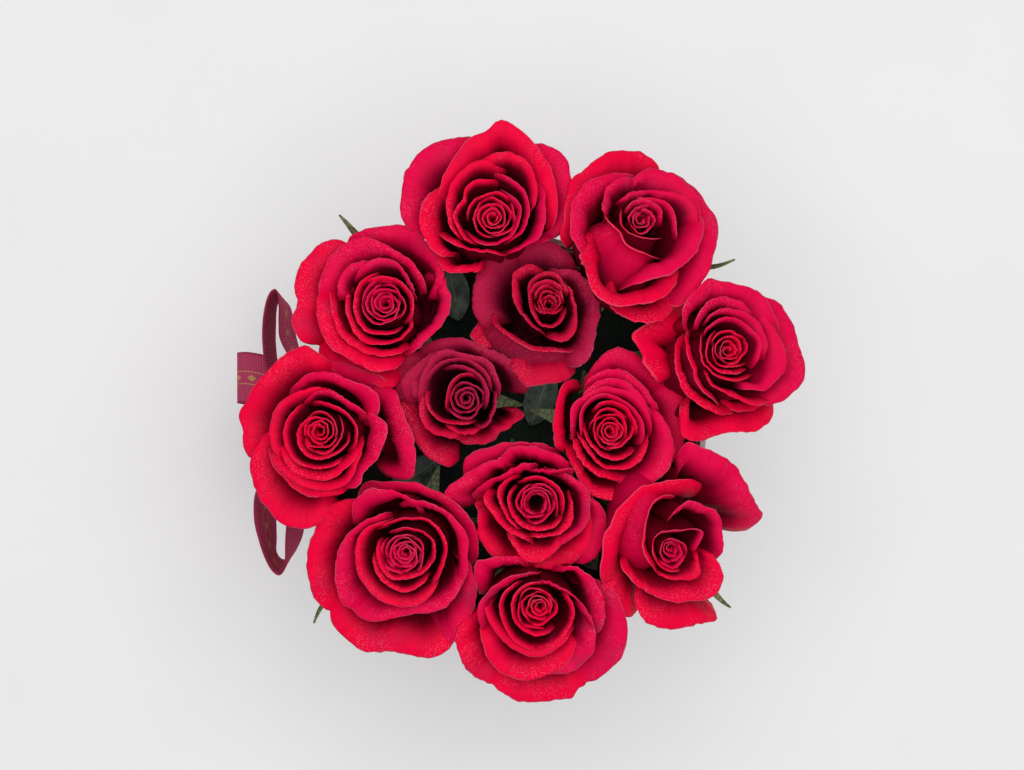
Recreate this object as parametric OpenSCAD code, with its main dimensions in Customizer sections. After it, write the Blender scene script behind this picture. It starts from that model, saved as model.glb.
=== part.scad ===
// Round paperboard flower box: a tube with a glued base and a tied ribbon, and inside it
// a plastic liner with floral foam that holds leaves and twelve cut roses.
// Millimetres, +Z up, origin at the centre of the box's underside.

/* [Box] */
// Outer diameter of the paperboard tube
box_d = 180; // [176:1:220]
// Height of the tube
box_h = 160; // [150:1:200]
// Thickness of the tube's wall
wall_t = 2.4; // [1.6:0.1:3.5]
// Thickness of the base disc
base_t = 3; // [2:0.5:5]

/* [Liner and foam] */
// Wall and floor thickness of the liner
liner_t = 0.8; // [0.6:0.1:1.5]
// Clearance between the liner and the tube
liner_gap = 0.4; // [0.3:0.1:1.5]
// How far the liner stops below the tube's rim
liner_drop = 8; // [4:1:20]
// Clearance between the foam and the liner's wall
foam_gap = 0.3; // [0.2:0.1:2]
// How far the foam stops below the tube's rim
foam_drop = 22; // [15:1:35]
// Bevel round the top of the foam
foam_bevel = 8; // [2:1:12]

/* [Ribbon] */
// Width of the ribbon
ribbon_w = 25; // [15:1:32]
// Thickness of the ribbon
ribbon_t = 0.6; // [0.4:0.1:1]
// Height of the ribbon's middle above the table
ribbon_z = 112; // [90:1:125]
// Length of each bow loop from the knot
loop_l = 60; // [40:1:70]
// Length of the tail that falls in front of the knot
tail_drop = 78; // [40:1:85]

/* [Stems] */
// Diameter of a rose stem
stem_d = 5.4; // [4:0.1:6.5]
// Radial clearance of a stem in the foam
stem_gap = 0.08; // [0.02:0.01:0.1]
// How deep a stem goes into the foam, along the stem
stem_depth = 72; // [50:1:85]
// Length of the swollen hip under the petals
hip_l = 11; // [8:0.5:14]
// Diameter of the hip where the petals sit on it
hip_d = 15; // [13:0.5:17]

/* [Flowers] */
// Height of a bloom from the hip to its tip
bloom_h = 46; // [40:1:55]
// Thickness of a petal
petal_t = 0.8; // [0.6:0.1:1]
// Gap left between neighbouring blooms
bloom_gap = 0.6; // [0.4:0.1:3]
// Length of a sepal from the stem's middle line
sepal_l = 27; // [20:1:32]
// Width of a sepal at its widest
sepal_w = 8; // [5:0.5:9]
// Length of a leaf's blade
leaf_l = 30; // [20:1:34]
// Width of a leaf's blade
leaf_w = 15; // [10:1:18]

/* [Hidden] */
$fn = 96;
box_r = box_d / 2;
rim_r = box_r - wall_t;
liner_r = rim_r - liner_gap;
foam_r = liner_r - liner_t - foam_gap;
foam_z = base_t + liner_t;
foam_top = box_h - foam_drop;
face_gap = 0.3;
stem_r = stem_d / 2;
hip_r = hip_d / 2;

// Heights of the rims of the four kinds of open petal
DULL = 0.59;
LOW = 0.68;
MID = 0.83;
HIGH = 0.92;

// Each rose: where its stem crosses the rim's plane, as [share of the rim's radius, direction],
// then [lean, lean's direction], height of the hip's top above the rim along the stem,
// share of the room between neighbours that the bloom takes, and the radius of its heart.
ROSES = [
    [0.925,  94, 13.3, 93,  8.5, 37, 23],
    [0.935,  58, 28,  58, 13.0, 36, 17],
    [0.855,  22, 27,  21, 12.5, 37, 21],
    [0.733, -35, 22.9, -35, 12.0, 39, 18],
    [0.718, -80, 15, -80,  8.0, 37, 20],
    [0.632, 228, 13, 228,  8.0, 40, 24],
    [0.785, 179, 14.1, 180,  8.0, 40, 21],
    [0.756, 133, 12, 135,  7.5, 37, 20],
    [0.573,  73,  9,  75,  5.0, 31, 14],
    [0.242, 140,  4, 140,  4.0, 30, 16],
    [0.405,   4,  9,   0,  5.5, 35, 19],
    [0.316, -66,  5, -70,  6.0, 35, 19],
];

// The open petals of each rose, outermost whorl first: [direction, radius of the rim, half its
// spread, height of the rim as a share of the bloom's height]
OUTER = [
    [[154, 44, 44, LOW], [34, 40, 33, LOW], [343, 35, 15, DULL], [240, 27, 38, LOW]],
    [[96, 41, 43, LOW], [9, 42, 42, LOW], [173, 28, 31, LOW]],
    [[14, 49, 42, LOW], [293, 37, 36, DULL]],
    [[39, 47, 33, LOW], [283, 43, 33, LOW], [239, 36, 9, DULL]],
    [[267, 49, 35, LOW], [340, 43, 35, LOW], [207, 42, 21, LOW], [131, 27, 42, LOW]],
    [[190, 47, 38, LOW], [265, 53, 34, LOW], [333, 37, 31, LOW], [72, 27, 50, DULL]],
    [[141, 42, 44, LOW], [232, 47, 42, LOW], [344, 40, 34, LOW], [57, 32, 36, LOW]],
    [[155, 45, 33, LOW], [208, 40, 19, LOW], [256, 35, 27, DULL], [342, 26, 45, LOW]],
    [[106, 35, 42, DULL], [183, 34, 33, LOW], [263, 35, 40, LOW]],
    [[56, 27, 46, LOW], [131, 29, 25, LOW], [179, 32, 21, LOW], [240, 31, 37, LOW], [321, 24, 39, LOW]],
    [[77, 36, 36, LOW], [1, 40, 38, LOW], [267, 32, 38, LOW], [173, 23, 45, LOW]],
    [[98, 25, 41, LOW], [167, 38, 26, LOW], [228, 33, 33, LOW], [289, 33, 26, LOW], [345, 34, 28, LOW]],
];
MIDDLE = [
    [[87, 46, 49, MID], [180, 32, 40, MID], [308, 25, 61, HIGH]],
    [[260, 40, 49, MID], [345, 27, 33, MID], [76, 29, 53, HIGH], [170, 29, 38, HIGH]],
    [[115, 29, 44, MID], [308, 30, 49, MID], [209, 29, 46, HIGH], [34, 24, 34, HIGH]],
    [[303, 34, 47, MID], [36, 27, 42, HIGH], [148, 32, 54, MID], [229, 25, 23, HIGH]],
    [[253, 37, 45, MID], [336, 30, 34, MID], [45, 28, 33, MID], [170, 25, 35, HIGH], [107, 23, 25, MID]],
    [[114, 29, 39, MID], [248, 36, 44, MID], [358, 28, 54, MID], [179, 33, 22, MID]],
    [[355, 29, 40, MID], [77, 27, 39, MID], [258, 30, 54, MID], [160, 26, 40, HIGH]],
    [[75, 35, 49, MID], [156, 33, 29, MID], [236, 30, 48, MID], [335, 23, 47, HIGH]],
    [[240, 20, 58, MID], [346, 22, 38, MID], [127, 22, 49, MID], [51, 22, 24, MID]],
    [[355, 22, 45, MID], [85, 19, 41, MID], [170, 19, 40, MID], [255, 19, 41, MID]],
    [[317, 31, 44, MID], [50, 26, 45, MID], [145, 22, 45, MID], [230, 22, 35, MID]],
    [[13, 25, 46, MID], [105, 22, 39, MID], [190, 22, 41, MID], [275, 22, 40, MID]],
];

// Each leaf: [share of the rim's radius, direction] of its stalk, and the blade's direction
LEAVES = [
    [0.21,  41,  70],
    [0.75, 112, 100],
    [0.50, 205, 215],
    [0.80,  -4,  60],
    [0.65, -57, -60],
    [0.57, 160,  80],
];

// Sepals that have grown a long leafy tip: [rose, direction, length from the stem's middle line]
LONG_SEPALS = [[2, 43, 47], [3, 1, 50], [7, -14, 50]];

function rose_name(i, part) = str("rose_", i < 10 ? "0" : "", i, "_", part);

// ---- Where each rose stands ----

function polar(r, a) = [r * cos(a), r * sin(a)];
function axis_of(rose) = concat(polar(sin(rose[2]), rose[3]), [cos(rose[2])]);
function foot_of(rose) = concat(polar(rose[0] * rim_r, rose[1]), [box_h]);
function along(rose, s) = foot_of(rose) + s * axis_of(rose);
function lip_of(rose) = along(rose, rose[4] + 0.8 * bloom_h);

// Length along the stem from the rim's plane down to the foam's top
function rim_to_foam(rose) = foam_drop / cos(rose[2]);

module at_rose(rose, s = 0) translate(along(rose, s)) rotate([0, rose[2], rose[3]]) children();

// Every bloom keeps to its own side of the plane between it and each neighbour. The plane lies
// at the blooms' shares of the distance, and holds the mean direction of the two stems.
function unit(v) = v / norm(v);
function between(a, b, share) = a + share * (b - a);
function plane_normal(a, b, share) =
    let (top = between(lip_of(a), lip_of(b), share), low = between(hip_of(a), hip_of(b), share),
        up = unit(top - low), d = lip_of(b) - lip_of(a))
    unit(d - (d * up) * up);
// The normal in rose a's own frame, with X along its lean
function to_frame(a, v) =
    let (x = [cos(a[2]) * cos(a[3]), cos(a[2]) * sin(a[3]), -sin(a[2])], y = [-sin(a[3]), cos(a[3]), 0])
    [v * x, v * y];
// Free radius of rose a towards rose b at direction az, for a petal that spans half each way,
// at the blooms' lips, or at their hips for what grows there
function hip_of(rose) = along(rose, rose[4]);
function room_to(a, b, az, half, at_hip) =
    let (share = a[5] / (a[5] + b[5]), n = plane_normal(a, b, share), f = to_frame(a, n),
        apart = at_hip ? hip_of(b) - hip_of(a) : lip_of(b) - lip_of(a),
        room = share * (apart * n) - bloom_gap,
        off = max(0, abs(((az - atan2(f[1], f[0])) % 360 + 540) % 360 - 180) - half))
    cos(off) * norm(f) < 0.2 ? 1000 : room / (cos(off) * norm(f));
function room(i, az, half, at_hip = false) =
    min([for (j = [0:len(ROSES) - 1]) if (j != i) room_to(ROSES[i], ROSES[j], az, half, at_hip)]);

// ---- Petals ----

heart_n = 3;
heart_half = 180 / heart_n - 3;
whorls = 5;
whorl_step = petal_t + 0.35;
seat_gap = 0.05;
// Room behind a petal's root, whose inner corner turns in where the petal leaves its seat steeply
root_gap = 0.32;
// Each whorl sits on its own step of the hip's top
function seat_r(whorl) = hip_r - (whorl + 1) * whorl_step;
function seat_z(whorl) = whorl * whorl_step;

function bezier(p, t) = pow(1 - t, 3) * p[0] + 3 * pow(1 - t, 2) * t * p[1]
    + 3 * (1 - t) * pow(t, 2) * p[2] + pow(t, 3) * p[3];
function slope(p, t) = unit(pow(1 - t, 2) * (p[1] - p[0]) + 2 * (1 - t) * t * (p[2] - p[1]) + pow(t, 2) * (p[3] - p[2]));

// A petal's middle line, as [[radius, height], direction]: it leaves the hip flat at its seat, rises
// to its belly at `rise` degrees, and there its lip begins, an arc that turns outwards by `roll`
function petal_line(root, r, h, belly, rise, roll, steps) =
    let (arc = (r - belly) / (sin(rise) - sin(rise - roll)),
        end = [belly, h - arc * (cos(max(0, rise - roll)) - cos(rise))],
        p = [root, [root[0] + 0.9 * (belly - root[0]), root[1] + 0.04 * h],
            end - 0.42 * end[1] * [cos(rise), sin(rise)], end])
    concat([for (k = [0:steps]) [bezier(p, k / steps), slope(p, k / steps)]],
        [for (k = [1:steps]) let (a = rise - roll * k / steps)
            [end + arc * [sin(rise) - sin(a), cos(a) - cos(rise)], [cos(a), sin(a)]]]);
function beside(line, d) = [for (q = line) q[0] + d * [-q[1][1], q[1][0]]];
function turned(list) = [for (k = [len(list) - 1:-1:0]) list[k]];

// A petal is part of a turned shell. A cylinder beside the stem rounds its rim off towards both sides.
module petal(whorl, r, h, belly, rise, roll, direction, span, rounding = 0) {
    line = petal_line([seat_r(whorl) + root_gap, seat_z(whorl) + petal_t / 2 + seat_gap],
        r, h, min(belly, r - 2), rise, roll, 5);
    intersection() {
        rotate(direction - span / 2) rotate_extrude(angle = span)
            polygon(concat(beside(line, -petal_t / 2), turned(beside(line, petal_t / 2))));
        if (rounding > 0) rotate(direction) translate([rounding * r, 0, -1])
            cylinder(h = 2 * bloom_h, r = (1 - rounding) * r + petal_t);
    }
}

// What a petal of rose i may reach, kept out of the neighbours' room, and its belly, which is smaller
// in each whorl so that no petal crosses another
function petal_az(i, p) = p[0] - ROSES[i][3];
function petal_room(i, p) = room(i, petal_az(i, p), 0.75 * p[2]);
BELLY = [1.36, 1.15, 0.9];
KEEP = [1, 0.84, 0.7];
function petal_belly(i, p, w) = min(BELLY[w] * ROSES[i][6], KEEP[w] * (petal_room(i, p) - 2));

module open_whorl(i, list, w, rise, roll) for (p = list)
    petal(w, min(p[1], (w < 2 ? 1 : 0.8) * petal_room(i, p)), p[3] * bloom_h, petal_belly(i, p, w),
        rise, roll, petal_az(i, p), 2 * p[2], w < 2 ? 0.42 : 0.1);

module petals(i) {
    rose = ROSES[i];
    color("crimson") at_rose(rose, rose[4]) {
        open_whorl(i, OUTER[i], 0, 62, 78);
        open_whorl(i, MIDDLE[i], 1, 78, 85);
        open_whorl(i, [for (k = [1:heart_n]) [(k + i / 12) * 360 / heart_n, rose[6], heart_half, HIGH]], 2, 86, 90);
    }
}

module heart(i) {
    rose = ROSES[i];
    h = bloom_h;
    wrap = 0.62 * rose[6];
    base = [seat_r(whorls - 1) - 0.4, seat_z(whorls) + seat_gap];
    color("darkred") at_rose(rose, rose[4]) {
        petal(3, wrap, 0.94 * h, 0.93 * wrap, 88, 80, 40 * i, 320);
        petal(4, 0.6 * wrap, 0.92 * h, 0.54 * wrap, 90, 70, 40 * i + 130, 320);
        rotate_extrude() polygon(concat([[0, base[1]]],
            [for (k = [0:6]) bezier([base, [0.3 * wrap, 0.15 * h], [0.3 * wrap, 0.8 * h], [0, 0.89 * h]], k / 6)]));
    }
}

// ---- Stem and calyx ----

sepal_n = 5;
sepal_step = 360 / sepal_n;
sepal_fall = 6;
sepal_rise = 3;
sepal_t = 0.8;

module calyx(i) {
    rose = ROSES[i];
    color("olivedrab") at_rose(rose, rose[4]) {
        rotate_extrude() polygon(concat(
            [[0, -hip_l], [stem_r, -hip_l], [stem_r + 0.9, -0.8 * hip_l], [0.75 * hip_r, -0.4 * hip_l],
            [hip_r, -0.1 * hip_l], [hip_r, 0]],
            [for (w = [0:whorls - 1]) each [[seat_r(w), seat_z(w)], [seat_r(w), seat_z(w + 1)]]],
            [[0, seat_z(whorls)]]));
        for (k = [0:sepal_n - 1]) sepal(i, 20 * i + (k + 0.5) * sepal_step, sepal_l, -sepal_fall);
        for (long = LONG_SEPALS) if (long[0] == i) sepal(i, long[1], long[2], sepal_rise);
    }
}

// A pointed strip that leaves the hip flat and falls by its tip, or rises where it would meet the rim
module sepal(i, direction, l, drop) {
    rose = ROSES[i];
    reach = min(l, min(room(i, direction, 14), room(i, direction, 14, true)) - 1.5);
    root = hip_r - 1;
    tip = foot_of(rose) + polar(reach, direction + rose[3]);
    rise = norm([tip[0], tip[1]]) > rim_r - 8 ? sepal_rise : drop;
    rotate(direction) intersection() {
        rotate([90, 0, 0]) translate([0, 0, -sepal_w / 2]) linear_extrude(sepal_w)
            polygon([for (s = [0, 1]) for (k = [0:5])
                let (t = s == 0 ? k / 5 : 1 - k / 5)
                [root + t * (reach - root), -0.4 + rise * pow(t, 1.6) - s * sepal_t]]);
        translate([0, 0, -2 * sepal_fall]) linear_extrude(4 * sepal_fall)
            polygon([[root, -sepal_w / 3], [root + 0.35 * (reach - root), -sepal_w / 2], [reach, -0.5],
                [reach, 0.5], [root + 0.35 * (reach - root), sepal_w / 2], [root, sepal_w / 3]]);
    }
}

module stem(i) {
    rose = ROSES[i];
    top = rose[4] - hip_l;
    color("green") at_rose(rose, 0) difference() {
        translate([0, 0, -rim_to_foam(rose) - stem_depth])
            cylinder(h = stem_depth + rim_to_foam(rose) + top, r = stem_r, $fn = 32);
        // The slanting cut at the stem's foot
        translate([0, 0, -rim_to_foam(rose) - stem_depth]) rotate([0, 40, 0])
            translate([0, 0, -2 * stem_d]) cube(4 * stem_d, center = true);
    }
}

// ---- Box, liner, foam and leaves ----

module tube(h, r, t) difference() {
    cylinder(h = h, r = r, $fn = 180);
    translate([0, 0, -1]) cylinder(h = h + 2, r = r - t, $fn = 180);
}

module box_wall() color("white") tube(box_h, box_r, wall_t);

module box_base() color("white") cylinder(h = base_t, r = rim_r, $fn = 180);

module liner() color("whitesmoke") translate([0, 0, base_t]) difference() {
    cylinder(h = box_h - liner_drop - base_t, r = liner_r, $fn = 180);
    translate([0, 0, liner_t]) cylinder(h = box_h, r = liner_r - liner_t, $fn = 180);
}

module foam() color("darkgreen") difference() {
    translate([0, 0, foam_z]) {
        cylinder(h = foam_top - foam_z - foam_bevel, r = foam_r, $fn = 180);
        translate([0, 0, foam_top - foam_z - foam_bevel])
            cylinder(h = foam_bevel, r1 = foam_r, r2 = foam_r - foam_bevel, $fn = 180);
    }
    for (rose = ROSES) at_rose(rose, -rim_to_foam(rose) - stem_depth - face_gap) rotate(90)
        cylinder(h = stem_depth + foam_drop, r = stem_r + stem_gap, $fn = 32);
    for (leaf = LEAVES) at_leaf(leaf) cylinder(h = 2 * stalk_depth, r = stalk_r + stem_gap, $fn = 24);
}

stalk_r = 1;
stalk_depth = 15;
leaf_z = box_h - 10;

module at_leaf(leaf) translate(concat(polar(leaf[0] * rim_r, leaf[1]), [foam_top - stalk_depth])) children();

module leaves() color("darkolivegreen") for (leaf = LEAVES) at_leaf(leaf) {
    cylinder(h = leaf_z - foam_top + stalk_depth, r = stalk_r, $fn = 24);
    translate([0, 0, leaf_z - foam_top + stalk_depth - 2]) rotate(leaf[2]) rotate([0, -8, 0])
        linear_extrude(1) polygon([for (s = [-1, 1]) for (k = [0:8])
            let (t = s < 0 ? k / 8 : 1 - k / 8)
            [leaf_l * (t - 0.35), s * leaf_w / 2 * pow(sin(180 * t), 0.8)]]);
}

// ---- Ribbon ----

knot_w = 18;
knot_t = 11;
knot_x = -box_r - ribbon_t - knot_t / 2;

module ribbon_band() color("maroon") translate([0, 0, ribbon_z - ribbon_w / 2])
    tube(ribbon_w, box_r + ribbon_t, ribbon_t);

module bow_knot() color("maroon") intersection() {
    translate([knot_x, 0, ribbon_z]) rotate([90, 0, 0]) cylinder(h = knot_w, r = ribbon_w / 2, center = true);
    translate([knot_x - knot_t / 2, -knot_w / 2, ribbon_z - ribbon_w])
        cube([knot_t, knot_w, 2 * ribbon_w]);
    difference() {
        cylinder(h = 2 * box_h, r = 2 * box_r);
        translate([0, 0, -1]) cylinder(h = 2 * box_h + 2, r = box_r + ribbon_t, $fn = 180);
    }
}

// A flat strip along points in the plane of the sheet, ribbon_t thick
module strip(points) for (k = [0:len(points) - 2]) hull() for (p = [points[k], points[k + 1]])
    translate(p) circle(r = ribbon_t / 2, $fn = 12);

// A teardrop loop that leaves the knot's side and comes back to it
function loop_line(l, w) = [for (k = [0:24]) let (t = k / 24)
    [w * sin(360 * t) * (0.55 + 0.45 * sin(180 * t)), l * pow(sin(180 * t), 0.9)]];

module bow_loop(side_y, skew) color("maroon")
    translate([knot_x, side_y * (knot_w / 2 + ribbon_t / 2 + 0.05), ribbon_z - ribbon_w / 2])
        mirror([0, side_y < 0 ? 1 : 0, 0]) rotate(skew) linear_extrude(ribbon_w) strip(loop_line(loop_l, 9));

module bow_loop_upper() bow_loop(1, 14);
module bow_loop_lower() bow_loop(-1, 8);

// The tails hang from the knot's front and foot, and drift sideways by a share of their fall
module bow_tail(points, y, w, drift = 0) color("maroon")
    multmatrix([[1, 0, 0, 0], [0, 1, -drift, y + w / 2 + drift * ribbon_z], [0, 0, 1, 0], [0, 0, 0, 1]])
        rotate([90, 0, 0]) linear_extrude(w) strip(points);

tail_x = knot_x - knot_t / 2 - ribbon_t / 2 - 0.05;
module bow_tail_front() bow_tail([for (k = [0:12]) let (t = k / 12)
    [tail_x - 24 * pow(sin(130 * t), 0.8), ribbon_z + 6 + 6 * sin(180 * min(1, 2 * t)) - tail_drop * pow(t, 1.8)]],
    3.5, ribbon_w, 0.24);

module bow_tail_back() bow_tail([for (k = [0:8]) let (t = k / 8)
    [-box_r - 3 - 8 * sin(90 * t), ribbon_z - ribbon_w / 2 - 0.5 - 0.9 * tail_drop * t]], -12, ribbon_w);

// ---- Nodes ----

box_wall();
box_base();
ribbon_band();
bow_knot();
bow_loop_upper();
bow_loop_lower();
bow_tail_front();
bow_tail_back();
liner();
foam();
leaves();
for (i = [0:11]) {
    stem(i);
    calyx(i);
    heart(i);
    petals(i);
}
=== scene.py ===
import math
from collections import namedtuple

import bmesh
import bpy
from mathutils import Matrix, Vector, noise


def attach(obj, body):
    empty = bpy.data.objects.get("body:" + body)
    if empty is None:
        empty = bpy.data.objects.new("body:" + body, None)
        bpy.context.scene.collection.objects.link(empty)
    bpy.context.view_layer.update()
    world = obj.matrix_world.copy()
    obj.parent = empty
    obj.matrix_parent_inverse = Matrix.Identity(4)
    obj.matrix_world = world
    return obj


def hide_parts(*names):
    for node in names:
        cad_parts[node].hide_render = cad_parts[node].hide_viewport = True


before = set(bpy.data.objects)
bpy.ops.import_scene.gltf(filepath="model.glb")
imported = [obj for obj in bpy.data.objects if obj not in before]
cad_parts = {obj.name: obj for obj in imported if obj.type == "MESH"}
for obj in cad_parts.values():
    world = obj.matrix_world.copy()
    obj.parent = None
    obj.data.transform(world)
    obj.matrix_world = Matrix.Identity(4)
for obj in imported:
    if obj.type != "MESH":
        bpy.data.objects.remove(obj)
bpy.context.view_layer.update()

MM = 0.001            # one millimetre in metres
PER_MM = 1000.0       # scale of a pattern with one cell in each millimetre
RIM_R = 87.6          # inside of the box's wall
BOX_R = 90.0
BOX_H = 160.0
FOAM_TOP = 138.0
BLOOM_H = 43.0        # height of a flower's heart above its hip
BLOOM_LEVEL = 212.0   # mean height of the flowers' lips above the table

# ---- Camera: straight above, a little off the box's middle ----

EYE = Vector((1.8, 20.9, 1060.0))
camera = bpy.data.objects.new("camera", bpy.data.cameras.new("camera"))
camera.data.sensor_width = 36.0
camera.data.lens = 69.6
camera.data.clip_start = 50 * MM
camera.location = EYE * MM
bpy.context.scene.collection.objects.link(camera)
bpy.context.scene.camera = camera
bpy.context.scene.view_settings.view_transform = "Standard"

# ---- Materials ----

# Kinds of node and their settings
COORD, ATTRIBUTE, UV_MAP = "ShaderNodeTexCoord", "ShaderNodeAttribute", "ShaderNodeUVMap"
JOIN, SPLIT, MAPPING = "ShaderNodeCombineXYZ", "ShaderNodeSeparateXYZ", "ShaderNodeMapping"
NOISE, CELLS = "ShaderNodeTexNoise", "ShaderNodeTexVoronoi"
MATH, RANGE, MIX, BUMP = "ShaderNodeMath", "ShaderNodeMapRange", "ShaderNodeMix", "ShaderNodeBump"
TIMES, PLUS, LESS, OVER = ({"operation": word} for word in ("MULTIPLY", "ADD", "SUBTRACT", "DIVIDE"))
MOST, BELOW, EVEN = ({"operation": word} for word in ("MAXIMUM", "LESS_THAN", "ABSOLUTE"))
SAW, PART = ({"operation": word} for word in ("PINGPONG", "FRACT"))
SOFT, COLOURS = {"interpolation_type": "SMOOTHSTEP"}, {"data_type": "RGBA"}
FROM, TO, NEW_FROM, NEW_TO = 1, 2, 3, 4     # a range's inputs
SHARE, FIRST, SECOND, MIXED = 0, 6, 7, 2    # a colour mix's inputs, and its output
OBJECT, GREY = 3, 2                         # outputs: object coordinates, an attribute's value


def linear(code):
    """A colour given as sRGB hex, in the linear values that a shader takes."""
    parts = [int(code[k:k + 2], 16) / 255 for k in (1, 3, 5)]
    return [p / 12.92 if p <= 0.04045 else ((p + 0.055) / 1.055) ** 2.4 for p in parts] + [1.0]


def material(name, roughness, **sockets):
    """A new material, its shader and its tree, with the shader's even values set on its own sockets."""
    made = bpy.data.materials.new(name)
    made.use_nodes = True
    shader = made.node_tree.nodes["Principled BSDF"]
    shader.inputs["Roughness"].default_value = roughness
    for key, value in sockets.items():
        socket = shader.inputs[key.replace("_", " ")]
        socket.default_value = linear(value) if isinstance(value, str) else value
    return made, made.node_tree, shader


def add(tree, kind, settings, inputs, output=0):
    """A new node with its settings, each input linked to a socket or set to a value, where a text is
    a colour's hex. Returns one output."""
    node = tree.nodes.new(kind)
    for key, value in settings.items():
        setattr(node, key, value)
    for key, value in inputs.items():
        if isinstance(value, bpy.types.NodeSocket):
            tree.links.new(value, node.inputs[key])
        else:
            node.inputs[key].default_value = linear(value) if isinstance(value, str) else value
    return node.outputs[output]


def petal_material(name, shade_and_vein, lit, dusk, rim, spray_glint_share):
    """Rose petal: a velvety skin of tiny cones, so it is matt and glows at its edges, with fine veins that
    run from the root to the rim, painted shade towards the root and painted light on the lip, a thin paler
    rim that is a painted highlight too, dusky patches, and fine drops of spray painted as pale glints."""
    made, tree, shader = material(name, 0.55, Sheen_Weight=0.05, Sheen_Roughness=0.4,
        Sheen_Tint="#ff2a4e", Specular_IOR_Level=0.05)
    where = add(tree, COORD, {}, {}, OBJECT)
    along = add(tree, ATTRIBUTE, {"attribute_name": "along"}, {}, GREY)
    across = add(tree, ATTRIBUTE, {"attribute_name": "across"}, {}, GREY)
    mood = add(tree, ATTRIBUTE, {"attribute_name": "mood"}, {}, GREY)
    # Veins about 1 mm apart that fan out over the petal, other ones on each petal
    fan = add(tree, JOIN, {}, {0: add(tree, MATH, TIMES, {0: across, 1: 22.0}),
        1: add(tree, MATH, TIMES, {0: along, 1: 3.0}), 2: add(tree, MATH, TIMES, {0: mood, 1: 40.0})})
    veins = add(tree, NOISE, {}, {"Vector": fan, "Scale": 1.0, "Detail": 4.0, "Roughness": 0.6})
    # Soft patches about 12 mm across
    patch = add(tree, NOISE, {}, {"Vector": where, "Scale": 0.08 * PER_MM, "Detail": 3.0})
    # Painted shade towards the root, where the petals shade each other, and painted light on the lip
    colour = add(tree, MIX, COLOURS, {SHARE: add(tree, RANGE, SOFT, {0: along, FROM: 0.38, TO: 0.9}),
        FIRST: shade_and_vein, SECOND: lit}, MIXED)
    veined = add(tree, MATH, TIMES, {0: add(tree, RANGE, SOFT, {0: veins, FROM: 0.42, TO: 0.78}), 1: 0.2})
    colour = add(tree, MIX, COLOURS, {SHARE: veined, FIRST: colour, SECOND: shade_and_vein}, MIXED)
    dusky = add(tree, MATH, TIMES, {0: add(tree, RANGE, SOFT, {0: patch, FROM: 0.5, TO: 0.72}),
        1: add(tree, RANGE, SOFT, {0: mood, FROM: 0.3, TO: 0.9})})
    colour = add(tree, MIX, COLOURS, {SHARE: add(tree, MATH, TIMES, {0: dusky, 1: 0.55}),
        FIRST: colour, SECOND: dusk}, MIXED)
    # The last millimetre or so of the petal, paler in patches: a painted highlight along the rim
    edge = add(tree, MATH, TIMES, {0: add(tree, RANGE, SOFT, {0: along, FROM: 0.97, TO: 1.0}),
        1: add(tree, RANGE, SOFT, {0: patch, FROM: 0.34, TO: 0.6})})
    colour = add(tree, MIX, COLOURS, {SHARE: add(tree, MATH, TIMES, {0: edge, 1: 0.5}),
        FIRST: colour, SECOND: rim}, MIXED)
    # Spray: beads about 0.3 mm across in loose crowds some 20 mm wide, most of them near the rims; their
    # pale colour is a painted highlight, the glints of the drops
    spray_glints = add(tree, CELLS, {}, {"Vector": where, "Scale": 1.5 * PER_MM})
    spray_glints = add(tree, MATH, BELOW, {0: spray_glints, 1: 0.22})
    crowd = add(tree, NOISE, {}, {"Vector": where, "Scale": 0.048 * PER_MM, "Detail": 4.0})
    crowd = add(tree, MATH, TIMES, {0: add(tree, RANGE, SOFT, {0: crowd, FROM: 0.44, TO: 0.6}),
        1: add(tree, RANGE, SOFT, {0: along, FROM: 0.5, TO: 0.95, NEW_FROM: 0.1, NEW_TO: 1.0})})
    spray_glints = add(tree, MATH, TIMES, {0: add(tree, MATH, TIMES, {0: spray_glints, 1: crowd}), 1: spray_glint_share})
    colour = add(tree, MIX, COLOURS, {SHARE: spray_glints, FIRST: colour, SECOND: "#e88aa0"}, MIXED)
    tree.links.new(colour, shader.inputs["Base Color"])
    grain = add(tree, NOISE, {}, {"Vector": where, "Scale": 1.6 * PER_MM, "Detail": 2.0})
    relief = add(tree, MATH, PLUS, {0: add(tree, MATH, TIMES, {0: veins, 1: 0.7}),
        1: add(tree, MATH, TIMES, {0: grain, 1: 0.2})})
    tree.links.new(add(tree, BUMP, {}, {"Strength": 0.5, "Distance": 0.6 * MM, "Height": relief}),
        shader.inputs["Normal"])
    return made


# The inner face of a petal is a saturated crimson and the outer face is duller, plum pink and a little
# silky; both darken towards the root in painted shade and are brightest on the rolled lip in painted light
bright_petal = (
    petal_material("rose_petal_silky_back", "#6e001e", "#dc0444", "#8e2046", "#d0607c", 0.42),
    petal_material("rose_petal_velvet_face", "#6a0016", "#e60038", "#9c1c46", "#e06484", 0.5))
# A darker copy of the petals for the two small flowers that sit low between the others: painted shade
# for the shadow they stand in, duskier in hue as well
shaded_petal = (
    petal_material("rose_petal_dusky_back", "#48061a", "#ae143e", "#7a2444", "#b85878", 0.5),
    petal_material("rose_petal_dusky_face", "#3e0012", "#c80836", "#741838", "#c8506c", 0.6))


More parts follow.
